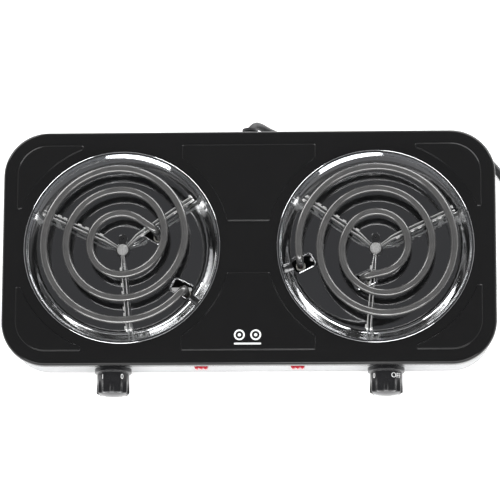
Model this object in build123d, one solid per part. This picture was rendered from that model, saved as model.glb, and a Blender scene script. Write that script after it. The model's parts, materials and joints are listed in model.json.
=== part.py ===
from build123d import *
import math
import os

# Two-burner electric hot plate, in millimetres, +Z up, front towards -Y, standing on z = 0.
# Everything is modelled about the middle of the housing. save() then moves it back by
# FOOTPRINT_SHIFT, so that the origin is the middle of the whole footprint, knobs and gland included.

# ---- driving dimensions: body ----
PLATE_W = 450.0
PLATE_D = 218.0
PLATE_CORNER_R = 41.0
PLATE_TOP_Z = 62.0
SHEET = 1.0
LIP_H = 9.0
LIP_ROLL_R = 4.0
OVERHANG = 3.9
FOOT_H = 8.0
WALL_TOP_Z = PLATE_TOP_Z - SHEET
WALL_W = PLATE_W - 2 * OVERHANG
WALL_D = PLATE_D - 2 * OVERHANG
WALL_CORNER_R = PLATE_CORNER_R - OVERHANG
FRONT_Y = -WALL_D / 2
REAR_Y = WALL_D / 2
FLANGE_W = 8.0
COVER_TOP_Z = FOOT_H + SHEET
FLOOR_FLANGE_TOP_Z = COVER_TOP_Z + SHEET

# ---- driving dimensions: embossed panels of the top plate ----
PANEL_INSET = 12.5
PANEL_ARC_R = 98.5
PANEL_H = 1.2
PANEL_TAPER = 58.0
CORNER_PANEL_CUT = 36.0
CENTRE_PANEL_HALF_W = 61.5
CENTRE_PANEL_LOW_Y = 23.5
PANEL_TIP_R = 1.5

# ---- driving dimensions: burners ----
BURNER_X = 115.5
PLATE_HOLE_R = 88.0
PAN_DEPTH = 13.0
PAN_SHEET = 0.6
PAN_FLOOR_R = 68.0
PAN_BOWL_R = 20.0
PAN_BOWL_ANGLE = 65.0
PAN_RIM_R = 89.9
PAN_RIM_H = 1.6
PAN_FLOOR_Z = PLATE_TOP_Z - PAN_DEPTH
TUBE_R = 3.5
COIL_Z = PLATE_TOP_Z + 6.0
COIL_RINGS = (70.8, 50.5, 28.6)
COIL_SWEEPS = (213.0, 195.0, 215.0)
COIL_BEND_R = 8.0
COIL_END_RUN = 10.9
COIL_LEG_END_Z = 38.0
SLOT_L = 19.0
SLOT_W = 11.6
SLOT_CHAMFER = 3.0
SLOT_LIP_H = 1.2
ARM_LENGTH = 79.0
ARM_GAP = 2.3
ARM_SHEET = 0.8
TUBE_CLEARANCE = 0.15

# each burner: its side, the coil's start angle and offset, the arms' turn, and its two slots
BURNERS = {
    "left": dict(x=-BURNER_X, coil_start=-41.8, coil_offset=(-0.3, 1.8), arm_turn=35.2,
                 slots=((54.8, -36.2, -26.6), (28.4, 15.4, -31.0))),
    "right": dict(x=BURNER_X, coil_start=185.5, coil_offset=(1.0, 1.8), arm_turn=25.2,
                  slots=((-66.3, -13.2, 27.0), (-10.2, -28.4, 23.0))),
}

# ---- driving dimensions: controls ----
KNOB_X = 124.4
AXIS_Z = 32.0
SHAFT_R = 3.0
SHAFT_FIT = 0.05
KNOB_BACK_Y = FRONT_Y - 2.1
SKIRT_LENGTH = 4.4
SKIRT_R = 16.9
GRIP_R = 14.8
GRIP_LENGTH = 17.7
DOME_R = 13.2
DOME_H = 3.4
FLUTES = 12
FLUTE_R = 3.4
FLUTE_DEPTH = 2.1
FLUTE_TILT = 13.0
LENS_X = 44.0
LENS_W = 12.8
LENS_H = 8.0
LENS_PROUD = 3.0

# ---- driving dimensions: cord ----
GLAND_Z = 37.0
GLAND_START_Y = 96.5
GLAND_END_Y = 117.0
GLAND_R = 7.25
CORD_R = 3.5
COIL_CENTRE = (284.0, 20.0)
COIL_INNER_R = 36.6
COIL_OUTER_R = 43.7
TIE_SHEET = 0.8
PLUG_TAIL = (324.5, 84.0, 8.0)
PLUG_TILT = 12.5

# out of the gland, down close behind the housing to the floor, along its rear wall, round its
# rear right corner and out to the put-away coil
LEAD_POINTS = [
    (-1.0, 113.5, 38.0),
    (3.4, 121.2, 34.6),
    (8.6, 123.0, 25.2),
    (17.0, 119.8, 15.6),
    (31.0, 115.6, 8.8),
    (52.0, 113.2, 5.0),
    (82.0, 111.6, 3.7),
    (116.0, 111.0, 3.6),
    (150.0, 112.0, 3.6),
    (179.0, 112.0, 3.6),
    (199.5, 109.0, 3.6),
    (214.8, 99.0, 3.6),
    (226.5, 87.0, 3.6),
    (235.6, 74.0, 3.6),
    (240.6, 56.5, 3.7),
    (242.2, 34.0, 4.0),
]
# off the top of the coil, over its outer turn and down to the plug
TAIL_POINTS = [
    (324.0, 18.0, 10.8),
    (324.0, 36.0, 11.6),
    (324.2, 53.0, 9.2),
    (324.4, 69.0, 6.4),
    (324.5, 84.0, 8.0),
]

FOOTPRINT_SHIFT = -(KNOB_BACK_Y - SKIRT_LENGTH - GRIP_LENGTH - DOME_H + GLAND_END_Y) / 2


def save(name, shape):
    """Write one node, moved from the housing's frame to the frame of the whole footprint."""
    export_step(Pos(0, FOOTPRINT_SHIFT, 0) * shape, f"parts/{name}.step")


def polar(radius, degrees, centre=(0.0, 0.0)):
    angle = math.radians(degrees)
    return (centre[0] + radius * math.cos(angle), centre[1] + radius * math.sin(angle))


def plate_outline(inset):
    return RectangleRounded(PLATE_W - 2 * inset, PLATE_D - 2 * inset, PLATE_CORNER_R - inset)


def rounded_block(width, depth, radius, z_low, z_high):
    return Pos(0, 0, z_low) * extrude(RectangleRounded(width, depth, radius), z_high - z_low)


def cylinder_y(radius, y_front, y_back, x, z):
    """A cylinder along Y between two planes."""
    length = y_back - y_front
    return Pos(x, (y_front + y_back) / 2, z) * Rot(90, 0, 0) * Cylinder(radius, length)


def revolve_profile(points):
    """Turn a closed outline of (radius, height) points about Z."""
    outline = Polyline(*[(r, 0, z) for r, z in points], close=True)
    return revolve(make_face(outline), Axis.Z)


# ---------------------------------------------------------------- top plate
def burner_circles(radius):
    return [Pos(b["x"], 0) * Circle(radius) for b in BURNERS.values()]


def corner_panel():
    """The embossed field in the front left corner."""
    cut_x = -BURNER_X - CORNER_PANEL_CUT
    corner = Pos(cut_x - PLATE_W / 2, -CORNER_PANEL_CUT - PLATE_D / 2) * Rectangle(PLATE_W, PLATE_D)
    return (plate_outline(PANEL_INSET) & corner) - burner_circles(PANEL_ARC_R)


def centre_panel():
    """The embossed field between the burners, at the rear."""
    high_y = PLATE_D / 2 - PANEL_INSET
    depth = high_y - CENTRE_PANEL_LOW_Y
    field = Pos(0, CENTRE_PANEL_LOW_Y + depth / 2) * Rectangle(2 * CENTRE_PANEL_HALF_W, depth)
    return field - burner_circles(PANEL_ARC_R)


def embossed_panels():
    corner = corner_panel()
    centre = centre_panel()
    tips = [v for v in corner.vertices()
            if abs(v.X + BURNER_X + CORNER_PANEL_CUT) < 0.01 or abs(v.Y + CORNER_PANEL_CUT) < 0.01]
    corner = fillet(tips, PANEL_TIP_R)
    centre = fillet(centre.vertices(), PANEL_TIP_R)
    prisms = []
    for sx, sy in ((1, 1), (-1, 1), (1, -1), (-1, -1)):
        face = corner
        if sx < 0:
            face = mirror(face, Plane.YZ)
        if sy < 0:
            face = mirror(face, Plane.XZ)
        prisms.append(face)
    prisms += [centre, mirror(centre, Plane.XZ)]
    return [raised_panel(face) for face in prisms]


def raised_panel(sketch):
    face = sketch.faces()[0]
    if face.normal_at().Z < 0:
        face = -face
    return extrude(face, PANEL_H, taper=PANEL_TAPER)


def top_plate():
    shell = rounded_block(PLATE_W, PLATE_D, PLATE_CORNER_R, PLATE_TOP_Z - LIP_H, PLATE_TOP_Z)
    shell = fillet(shell.edges().group_by(Axis.Z)[-1], LIP_ROLL_R)
    hollow = rounded_block(PLATE_W - 2 * SHEET, PLATE_D - 2 * SHEET, PLATE_CORNER_R - SHEET,
                           PLATE_TOP_Z - LIP_H, PLATE_TOP_Z - SHEET)
    hollow = fillet(hollow.edges().group_by(Axis.Z)[-1], LIP_ROLL_R - SHEET)
    plate = shell - hollow
    for panel in embossed_panels():
        plate = plate + Pos(0, 0, PLATE_TOP_Z) * panel
        plate = plate - Pos(0, 0, PLATE_TOP_Z - SHEET) * panel
    for b in BURNERS.values():
        plate = plate - Pos(b["x"], 0, PLATE_TOP_Z) * Cylinder(PLATE_HOLE_R, 4 * SHEET)
    return plate


STUD_SPOTS = [(sx * 214.5, sy * 60.0) for sx in (-1, 1) for sy in (-1, 1)]


def plate_studs():
    length = 11.0
    return [Pos(x, y, WALL_TOP_Z - length / 2) * Cylinder(1.6, length) for x, y in STUD_SPOTS]


def plate_nuts():
    height = 3.0
    nut = extrude(RegularPolygon(3.6, 6), height) - Cylinder(1.65, 3 * height)
    top_z = WALL_TOP_Z - SHEET
    return [Pos(x, y, top_z - height) * nut for x, y in STUD_SPOTS]


# ---------------------------------------------------------------- housing and base
FOOT_SPOTS = [(sx * 186.0, sy * 82.0) for sx in (-1, 1) for sy in (-1, 1)]
SCREW_SPOTS = [(sx * 216.5, sy * 40.0) for sx in (-1, 1) for sy in (-1, 1)]
SCREW_SPOTS += [(0.0, -100.5), (60.0, 100.5)]


def lower_housing():
    outer = rounded_block(WALL_W, WALL_D, WALL_CORNER_R, COVER_TOP_Z, WALL_TOP_Z)
    inner = rounded_block(WALL_W - 2 * SHEET, WALL_D - 2 * SHEET, WALL_CORNER_R - SHEET,
                          FLOOR_FLANGE_TOP_Z, WALL_TOP_Z - SHEET)
    opening = rounded_block(WALL_W - 2 * FLANGE_W, WALL_D - 2 * FLANGE_W, WALL_CORNER_R - FLANGE_W,
                            COVER_TOP_Z - SHEET, WALL_TOP_Z + SHEET)
    housing = outer - inner - opening
    for side in (-1, 1):
        housing -= cylinder_y(5.2, FRONT_Y - 5, FRONT_Y + 5, side * KNOB_X, AXIS_Z)
        for dx in (-11.0, 11.0):
            housing -= cylinder_y(1.6, FRONT_Y - 5, FRONT_Y + 5, side * KNOB_X + dx, AXIS_Z)
        window = Box(LENS_W - 1.6, 10, LENS_H - 1.6)
        housing -= Pos(side * LENS_X, FRONT_Y, AXIS_Z) * window
    housing -= cylinder_y(5.6, REAR_Y - 5, REAR_Y + 5, 0, GLAND_Z)
    for x, y in SCREW_SPOTS:
        housing -= Pos(x, y, COVER_TOP_Z) * Cylinder(1.5, 4 * SHEET)
    for x, y in STUD_SPOTS:
        housing -= Pos(x, y, WALL_TOP_Z) * Cylinder(1.7, 4 * SHEET)
    return housing


def base_cover():
    cover = rounded_block(WALL_W, WALL_D, WALL_CORNER_R, FOOT_H, COVER_TOP_Z)
    slot = extrude(SlotOverall(34.0, 4.0), 4 * SHEET, both=True)
    for b in BURNERS.values():
        for row in range(-3, 4):
            for column in (-1, 0, 1):
                cover -= Pos(b["x"] + 44.0 * column, 14.0 * row, FOOT_H) * slot
    for x, y in FOOT_SPOTS:
        cover -= Pos(x, y, FOOT_H) * Cylinder(3.1, 4 * SHEET)
    for x, y in SCREW_SPOTS:
        cover -= Pos(x, y, FOOT_H) * Cylinder(1.8, 4 * SHEET)
    cover -= Pos(*EARTH_SPOT, FOOT_H) * Cylinder(1.8, 4 * SHEET)
    return cover


def rubber_feet():
    foot = revolve_profile([(0, 0), (8.0, 0), (8.6, 1.2), (9.5, FOOT_H), (3.0, FOOT_H),
                            (3.0, COVER_TOP_Z), (4.2, COVER_TOP_Z), (2.2, COVER_TOP_Z + 2.4),
                            (0, COVER_TOP_Z + 2.4)])
    return [Pos(x, y, 0) * foot for x, y in FOOT_SPOTS]


def pan_head_screw(shank_r, shank_length, head_r, head_h):
    """A screw along +Z, with its head below z = 0 and a cross slot in the head."""
    head = Pos(0, 0, -head_h / 2) * Cylinder(head_r, head_h)
    head = fillet(head.edges().group_by(Axis.Z)[0], head_h * 0.45)
    slot = Box(head_r * 1.1, 0.7, 1.2) + Box(0.7, head_r * 1.1, 1.2)
    shank = Pos(0, 0, shank_length / 2) * Cylinder(shank_r, shank_length)
    return head - Pos(0, 0, -head_h) * slot + shank


def base_screws():
    screw = pan_head_screw(1.45, 7.0, 3.2, 2.0)
    return [Pos(x, y, FOOT_H) * screw for x, y in SCREW_SPOTS]


# ---------------------------------------------------------------- drip pan
def pan_profile():
    top = PLATE_TOP_Z
    low = PAN_FLOOR_Z
    turn = math.radians(PAN_BOWL_ANGLE)

    def on_bowl(radius, share):
        angle = turn * share
        return (PAN_FLOOR_R + radius * math.sin(angle), 0,
                low + PAN_BOWL_R - radius * math.cos(angle))

    outer = PAN_BOWL_R + PAN_SHEET
    rim_inner = (87.0, 0, top + 0.2)
    lines = [
        Line((0, 0, low), (PAN_FLOOR_R, 0, low)),
        ThreePointArc((PAN_FLOOR_R, 0, low), on_bowl(PAN_BOWL_R, 0.5), on_bowl(PAN_BOWL_R, 1)),
        Line(on_bowl(PAN_BOWL_R, 1), rim_inner),
        ThreePointArc(rim_inner, (88.5, 0, top + PAN_RIM_H), (PAN_RIM_R, 0, top)),
        Line((PAN_RIM_R, 0, top), (87.7, 0, top)),
        Line((87.7, 0, top), on_bowl(outer, 1)),
        ThreePointArc(on_bowl(outer, 1), on_bowl(outer, 0.5), (PAN_FLOOR_R, 0, low - PAN_SHEET)),
        Line((PAN_FLOOR_R, 0, low - PAN_SHEET), (0, 0, low - PAN_SHEET)),
        Line((0, 0, low - PAN_SHEET), (0, 0, low)),
    ]
    return make_face(lines)


def slot_face(grow):
    outline = Rectangle(SLOT_L + 2 * grow, SLOT_W + 2 * grow)
    return chamfer(outline.vertices(), SLOT_CHAMFER + 0.6 * grow)


def drip_pan(burner):
    pan = revolve(pan_profile(), Axis.Z)
    pan -= Pos(0, 0, PAN_FLOOR_Z) * Cylinder(2.3, 6)
    for x, y, turn in burner["slots"]:
        place = Pos(x, y, PAN_FLOOR_Z) * Rot(0, 0, turn)
        pan += place * extrude(slot_face(PAN_SHEET), SLOT_LIP_H)
        pan -= place * extrude(slot_face(0), 4, both=True)
    return Pos(burner["x"], 0, 0) * pan


# ---------------------------------------------------------------- heating coil
def quarter_bend(corner_from, corner_to, inner):
    """A quarter circle from one point to another, about their shared centre."""
    middle = (Vector(*corner_from) + Vector(*corner_to)) / 2
    centre = Vector(*inner)
    radius = (Vector(*corner_from) - centre).length
    through = centre + (middle - centre).normalized() * radius
    return ThreePointArc(corner_from, through, corner_to)


def heading(angle):
    """The clockwise direction of travel at an angle round the coil."""
    return (math.sin(math.radians(angle)), -math.cos(math.radians(angle)))


def coil_plan(burner):
    """The flat part of the coil: three rings joined by two half turns, then a short straight run.

    Returns its edges, its end point, and the start and end directions."""
    centre = burner["coil_offset"]
    angle = burner["coil_start"]
    edges = []
    for ring, (radius, sweep) in enumerate(zip(COIL_RINGS, COIL_SWEEPS)):
        edges.append(CenterArc(centre, radius, angle, -sweep))
        angle -= sweep
        if ring + 1 < len(COIL_RINGS):
            half_turn_r = (radius + COIL_RINGS[ring + 1]) / 2
            half_turn_centre = polar(radius - half_turn_r, angle, centre)
            edges.append(CenterArc(half_turn_centre, half_turn_r, angle, -180))
            angle -= 180
    tangent = polar(COIL_RINGS[-1], angle, centre)
    direction = heading(angle)
    end = (tangent[0] + COIL_END_RUN * direction[0], tangent[1] + COIL_END_RUN * direction[1])
    edges.append(Line(tangent, end))
    return edges, end, direction


def coil_legs(burner):
    """Where the outer and inner legs stand, in the burner's frame."""
    start = polar(COIL_RINGS[0], burner["coil_start"], burner["coil_offset"])
    back = heading(burner["coil_start"])
    edges, end, ahead = coil_plan(burner)
    outer = (start[0] - COIL_BEND_R * back[0], start[1] - COIL_BEND_R * back[1])
    inner = (end[0] + COIL_BEND_R * ahead[0], end[1] + COIL_BEND_R * ahead[1])
    return start, outer, end, inner


def coil_path(burner, leg_end_z):
    edges, end, direction = coil_plan(burner)
    start, outer, end, inner = coil_legs(burner)
    bend_z = COIL_Z - COIL_BEND_R
    path = [Line((*outer, leg_end_z), (*outer, bend_z)),
            quarter_bend((*outer, bend_z), (*start, COIL_Z), (*start, bend_z))]
    path += [Pos(0, 0, COIL_Z) * edge for edge in edges]
    path += [quarter_bend((*end, COIL_Z), (*inner, bend_z), (*end, bend_z)),
             Line((*inner, bend_z), (*inner, leg_end_z))]
    return Wire([e.edge() if not isinstance(e, Edge) else e for e in path])


def coil_tube(burner, radius, leg_end_z):
    path = coil_path(burner, leg_end_z)
    start = coil_legs(burner)[1]
    section = Plane((*start, leg_end_z), z_dir=(0, 0, 1)) * Circle(radius)
    return sweep(section, path=path)


def heating_coil(burner):
    return Pos(burner["x"], 0, 0) * coil_tube(burner, TUBE_R, COIL_LEG_END_Z)


PIN_END_Z = 24.0
INSULATOR_LOW_Z = 32.0


def leg_spots(burner):
    start, outer, end, inner = coil_legs(burner)
    return [(burner["x"] + x, y) for x, y in (outer, inner)]


def coil_insulators(burner):
    height = COIL_LEG_END_Z - INSULATOR_LOW_Z
    ring = Cylinder(4.4, height) - Cylinder(1.6, 3 * height)
    bead = Pos(0, 0, INSULATOR_LOW_Z + height / 2) * ring
    bead = fillet(bead.edges().filter_by(GeomType.CIRCLE).sort_by(SortBy.RADIUS)[-2:], 0.8)
    return [Pos(x, y, 0) * bead for x, y in leg_spots(burner)]


def coil_pins(burner):
    height = COIL_LEG_END_Z - PIN_END_Z
    return [Pos(x, y, PIN_END_Z + height / 2) * Cylinder(1.6, height) for x, y in leg_spots(burner)]


# ---------------------------------------------------------------- trivet and its centre screw
HUB_Z = PAN_FLOOR_Z + 2.5
ARM_TOP_Z = COIL_Z - 2.0
ARM_LOW_Z = PLATE_TOP_Z - 5.0


def trivet_arm():
    """One arm along +X: two upright strips with a foot, level wings and a hooked tip."""
    outline = Polyline(
        (6.0, 0, HUB_Z), (10.0, 0, HUB_Z), (17.0, 0, ARM_LOW_Z), (62.5, 0, ARM_LOW_Z),
        (63.5, 0, PAN_FLOOR_Z + 0.05), (67.0, 0, PAN_FLOOR_Z + 0.05), (68.0, 0, ARM_LOW_Z),
        (ARM_LENGTH, 0, ARM_LOW_Z), (ARM_LENGTH, 0, ARM_TOP_Z - 2.0), (ARM_LENGTH - 1.5, 0, ARM_TOP_Z),
        (17.0, 0, ARM_TOP_Z), (6.0, 0, HUB_Z + 4.0), close=True)
    face = make_face(outline)
    offset = (ARM_GAP + ARM_SHEET) / 2
    arm = [Pos(0, side * offset + ARM_SHEET / 2, 0) * extrude(face, ARM_SHEET, dir=(0, -1, 0))
           for side in (-1, 1)]
    wing = Box(5.5, ARM_GAP + 2 * ARM_SHEET + 2.6, ARM_SHEET)
    for ring in COIL_RINGS:
        for step in (-7.2, 7.2):
            arm.append(Pos(ring + step, 0, ARM_TOP_Z - 2.4) * wing)
    tip = Box(3.0, ARM_GAP + 2 * ARM_SHEET + 2.0, 4.0)
    arm.append(Pos(ARM_LENGTH - 1.5, 0, ARM_TOP_Z - 3.0) * tip)
    return arm


def trivet(burner):
    body = Pos(0, 0, HUB_Z) * Cylinder(9.0, 1.0)
    tab_y = 10.2
    tab = Pos(0, tab_y, HUB_Z) * Cylinder(4.2, 1.0) + Pos(0, tab_y / 2, HUB_Z) * Box(6.0, tab_y, 1.0)
    body += tab
    for third in range(3):
        for piece in trivet_arm():
            body += Rot(0, 0, burner["arm_turn"] + 120 * third) * piece
    body -= Pos(0, tab_y, HUB_Z) * Cylinder(1.1, 4)
    body -= Pos(0, 0, HUB_Z) * Cylinder(2.2, 30)
    body -= coil_tube(burner, TUBE_R + TUBE_CLEARANCE, COIL_LEG_END_Z)
    return Pos(burner["x"], 0, 0) * body


def centre_screw(burner):
    head_low = HUB_Z + 0.5
    dome = revolve_profile([(0, head_low), (5.2, head_low), (5.2, head_low + 0.8), (4.2, head_low + 2.0),
                            (2.2, head_low + 2.7), (0, head_low + 2.8)])
    shank = Pos(0, 0, head_low - 6.5) * Cylinder(2.0, 13.0)
    slot = Pos(0, 0, head_low + 2.7) * (Box(6.0, 0.9, 1.8) + Box(0.9, 6.0, 1.8))
    return Pos(burner["x"], 0, 0) * (dome - slot + shank)


BAR_TOP_Z = PAN_FLOOR_Z - PAN_SHEET
BAR_SHEET = 1.2
BAR_REACH = 97.0


def cross_bar(burner):
    """The strap under the pan, welded under the top plate, that holds the centre screw."""
    width = 12.0
    under_plate_z = PLATE_TOP_Z - SHEET
    leg_h = under_plate_z - BAR_TOP_Z
    bar = Pos(0, 0, BAR_TOP_Z - BAR_SHEET / 2) * Box(2 * BAR_REACH, width, BAR_SHEET)
    for side in (-1, 1):
        x = side * (BAR_REACH - BAR_SHEET / 2)
        bar += Pos(x, 0, BAR_TOP_Z + leg_h / 2) * Box(BAR_SHEET, width, leg_h)
        bar += Pos(side * (BAR_REACH - 3.0), 0, under_plate_z - BAR_SHEET / 2) * Box(6.0, width, BAR_SHEET)
    bar -= Pos(0, 0, BAR_TOP_Z) * Cylinder(2.2, 8)
    return Pos(burner["x"], 0, 0) * bar


def centre_nut(burner):
    height = 3.2
    nut = extrude(RegularPolygon(4.0, 6), height) - Cylinder(2.05, 3 * height)
    return Pos(burner["x"], 0, BAR_TOP_Z - BAR_SHEET - height) * nut


# ---------------------------------------------------------------- thermostat, shaft, knob, lamp
INSIDE_Y = FRONT_Y + SHEET
TAB_END_Y = -76.0
TAB_DX = 8.0
TAB_Z = 24.0


def thermostat(side):
    x = side * KNOB_X
    bracket = Pos(x, INSIDE_Y + 0.5, AXIS_Z) * Box(34, 1.0, 20)
    body = Pos(x, INSIDE_Y + 10.0, AXIS_Z) * Box(32, 18.0, 26)
    body = fillet(body.edges().filter_by(Axis.Y), 3)
    bushing = cylinder_y(4.9, FRONT_Y - 1.2, INSIDE_Y + 1.0, x, AXIS_Z)
    unit = bracket + body + bushing
    tab_start = INSIDE_Y + 18.0
    for dx in (-TAB_DX, TAB_DX):
        tab = Box(5.0, TAB_END_Y - tab_start, 2.0)
        unit += Pos(x + dx, (tab_start + TAB_END_Y) / 2, TAB_Z) * tab
    unit -= cylinder_y(SHAFT_R + SHAFT_FIT, FRONT_Y - 5, INSIDE_Y + 14.0, x, AXIS_Z)
    for dx in (-11.0, 11.0):
        unit -= cylinder_y(1.3, FRONT_Y - 5, INSIDE_Y + 6.0, x + dx, AXIS_Z)
    return unit


def thermostat_screws():
    screw = Rot(-90, 0, 0) * pan_head_screw(1.25, 6.5, 2.4, 1.2)
    return [Pos(side * KNOB_X + dx, FRONT_Y, AXIS_Z) * screw for side in (-1, 1) for dx in (-11.0, 11.0)]


SHAFT_FRONT_Y = KNOB_BACK_Y - 15.0


def thermostat_shaft(side):
    x = side * KNOB_X
    shaft = cylinder_y(SHAFT_R, SHAFT_FRONT_Y, INSIDE_Y + 13.0, x, AXIS_Z)
    flat_y = (SHAFT_FRONT_Y + KNOB_BACK_Y) / 2
    return shaft - Pos(x, flat_y, AXIS_Z + SHAFT_R) * Box(10, KNOB_BACK_Y - SHAFT_FRONT_Y, 2 * 1.4)


def dome_height(radius):
    """Height of the knob's domed end over its edge, at a distance from the axis."""
    sphere_r = (DOME_R ** 2 + DOME_H ** 2) / (2 * DOME_H)
    return DOME_H - sphere_r + math.sqrt(sphere_r ** 2 - radius ** 2)


def knob(side):
    """A turned body with a skirt and a domed end, fluted towards the end, hollow at the back."""
    skirt = SKIRT_LENGTH
    end = skirt + GRIP_LENGTH
    outline = [
        Line((0, 0, 0), (SKIRT_R - 0.4, 0, 0)),
        Line((SKIRT_R - 0.4, 0, 0), (SKIRT_R, 0, 0.5)),
        Line((SKIRT_R, 0, 0.5), (SKIRT_R, 0, skirt - 1.0)),
        Line((SKIRT_R, 0, skirt - 1.0), (GRIP_R, 0, skirt + 0.8)),
        Line((GRIP_R, 0, skirt + 0.8), (GRIP_R, 0, end - 1.0)),
        Line((GRIP_R, 0, end - 1.0), (DOME_R, 0, end)),
        ThreePointArc((DOME_R, 0, end), (DOME_R / 2, 0, end + dome_height(DOME_R / 2)),
                      (0, 0, end + DOME_H)),
        Line((0, 0, end + DOME_H), (0, 0, 0)),
    ]
    body = revolve(make_face(outline), Axis.Z)
    body -= Pos(0, 0, 4.0) * (Cylinder(12.6, 12.0) - Cylinder(5.4, 14.0))
    flute = Pos(GRIP_R + FLUTE_R - FLUTE_DEPTH, 0, end) * Rot(0, -FLUTE_TILT, 0) * Cylinder(FLUTE_R, 26.0)
    for step in range(FLUTES):
        body -= Rot(0, 0, (step + 0.5) * 360 / FLUTES) * flute
    body = Pos(side * KNOB_X, KNOB_BACK_Y, AXIS_Z) * Rot(90, 0, 0) * body
    return body - shaft_bore(side)


def shaft_bore(side):
    x = side * KNOB_X
    back = KNOB_BACK_Y + 5.0
    bore_r = SHAFT_R + SHAFT_FIT
    bore = cylinder_y(bore_r, SHAFT_FRONT_Y - 0.5, back, x, AXIS_Z)
    flat_depth = 1.4 - SHAFT_FIT
    flat = Box(10, 15.0, 2 * flat_depth - 0.2)
    return bore - Pos(x, KNOB_BACK_Y - 8.0, AXIS_Z + bore_r) * flat


def indicator_lens(side):
    plate = Pos(0, -0.5, 0) * Box(LENS_W, 1.0, LENS_H)
    for dx in (-4.1, 0, 4.1):
        rib = Pos(dx, -1.0, 0) * Cylinder(2.0, LENS_H - 0.6)
        plate += rib & Pos(dx, -(LENS_PROUD / 2), 0) * Box(6, LENS_PROUD, LENS_H)
    plug = Pos(0, 2.0, 0) * Box(LENS_W - 1.8, 4.0, LENS_H - 1.8)
    return Pos(side * LENS_X, FRONT_Y, AXIS_Z) * (plate + plug)


def neon_lamp(side):
    x = side * LENS_X
    bulb = cylinder_y(2.2, FRONT_Y + 4.2, FRONT_Y + 14.0, x, AXIS_Z)
    return fillet(bulb.edges(), 1.0)


# ---------------------------------------------------------------- gland, terminal block, wiring
def cord_gland():
    """The strain relief: a flange on the rear wall and a ribbed taper that ends in a collar."""
    wall = REAR_Y
    profile = [(0, GLAND_START_Y), (5.5, GLAND_START_Y), (5.5, wall), (9.0, wall), (9.0, wall + 2.4),
               (8.4, wall + 3.2), (5.8, wall + 3.6), (5.8, wall + 5.2), (7.8, wall + 5.4),
               (7.8, wall + 7.0), (5.5, wall + 7.2), (5.5, GLAND_END_Y - 2.8),
               (GLAND_R, GLAND_END_Y - 2.5), (GLAND_R, GLAND_END_Y), (0, GLAND_END_Y)]
    outline = Polyline(*[(r, y, 0) for r, y in profile], close=True)
    return Pos(0, 0, GLAND_Z) * revolve(make_face(outline), Axis.Y)


def gland_locknut():
    length = 3.0
    nut = Rot(90, 0, 0) * (extrude(RegularPolygon(9.0, 6), length) - Cylinder(5.55, 3 * length))
    return Pos(0, REAR_Y - SHEET, GLAND_Z) * nut


SHEATH_END_Y = 92.0
BLOCK_BACK_Y = 64.0
BLOCK_FRONT_Y = 46.0
POLES = {"neutral": -10.0, "earth": 0.0, "live": 10.0}
BLOCK_WIRE_Z = 15.0
WIRE_R = 1.2
EARTH_SPOT = (0.0, 28.0)


def inner_cord():
    return cylinder_y(CORD_R, SHEATH_END_Y, GLAND_START_Y, 0, GLAND_Z)


def terminal_block():
    block = Pos(0, (BLOCK_BACK_Y + BLOCK_FRONT_Y) / 2, COVER_TOP_Z + 6.0) * Box(32, 18, 12)
    block = fillet(block.edges().filter_by(Axis.Z), 1.5)
    for x in POLES.values():
        for y in (BLOCK_FRONT_Y + 5, BLOCK_BACK_Y - 5):
            block -= Pos(x, y, COVER_TOP_Z + 10.0) * Cylinder(2.2, 6.0)
    return block


def terminal_screws():
    head = Cylinder(1.9, 2.0) - Pos(0, 0, 1.0) * Box(4.5, 0.6, 1.0)
    return [Pos(x, y, COVER_TOP_Z + 8.0) * head
            for x in POLES.values() for y in (BLOCK_FRONT_Y + 5, BLOCK_BACK_Y - 5)]


def tube(points, radius, bend=None):
    """A round tube along straight runs joined by tangent arcs."""
    inner = points[1:-1]
    radii = bend if bend is not None else [4.0] * len(inner)
    path = FilletPolyline(*points, radius=radii)
    start = Vector(*points[0])
    section = Plane(start, z_dir=Vector(*points[1]) - start) * Circle(radius)
    return sweep(section, path=path)


def cord_wire(pole, sheath_dx):
    x = POLES[pole]
    return tube([(sheath_dx, SHEATH_END_Y, GLAND_Z), (sheath_dx, SHEATH_END_Y - 7, GLAND_Z),
                 (x, 76, 20), (x, 70, BLOCK_WIRE_Z), (x, BLOCK_BACK_Y, BLOCK_WIRE_Z)],
                WIRE_R, [4.0, 4.0, 3.0])


def pin_spot(name, leg):
    return leg_spots(BURNERS[name])[leg]


def live_wires():
    wires = [cord_wire("live", 1.9)]
    for side, dx in ((-1, -2.0), (1, 2.0)):
        x = POLES["live"] + dx
        tab_x = side * KNOB_X - TAB_DX
        cross_y = -56.0 - 4.0 * side
        wires.append(tube([(x, BLOCK_FRONT_Y, BLOCK_WIRE_Z), (x, 36, BLOCK_WIRE_Z), (x, 12, TAB_Z),
                           (x, cross_y, TAB_Z), (tab_x, cross_y, TAB_Z), (tab_x, TAB_END_Y, TAB_Z)],
                          WIRE_R))
    return wires


def switched_wires():
    low_z = 18.0
    wires = []
    for name, side in (("left", -1), ("right", 1)):
        tab_x = side * KNOB_X + TAB_DX
        px, py = pin_spot(name, 0)
        wires.append(tube([(tab_x, TAB_END_Y, TAB_Z), (tab_x, TAB_END_Y + 7, TAB_Z),
                           (tab_x, TAB_END_Y + 14, low_z), (px, py - 9, low_z), (px, py, low_z),
                           (px, py, PIN_END_Z)], WIRE_R, [2.5, 2.5, 4.0, 2.5]))
    return wires


def neutral_wires():
    wires = [cord_wire("neutral", -1.9)]
    low_z = 14.0
    px, py = pin_spot("left", 1)
    wires.append(tube([(-12.0, BLOCK_FRONT_Y, low_z), (-12.0, py, low_z), (px, py, low_z),
                       (px, py, PIN_END_Z)], WIRE_R))
    px, py = pin_spot("right", 1)
    wires.append(tube([(-8.0, BLOCK_FRONT_Y, low_z), (-8.0, py, low_z), (px, py, low_z),
                       (px, py, PIN_END_Z)], WIRE_R))
    return wires


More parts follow.
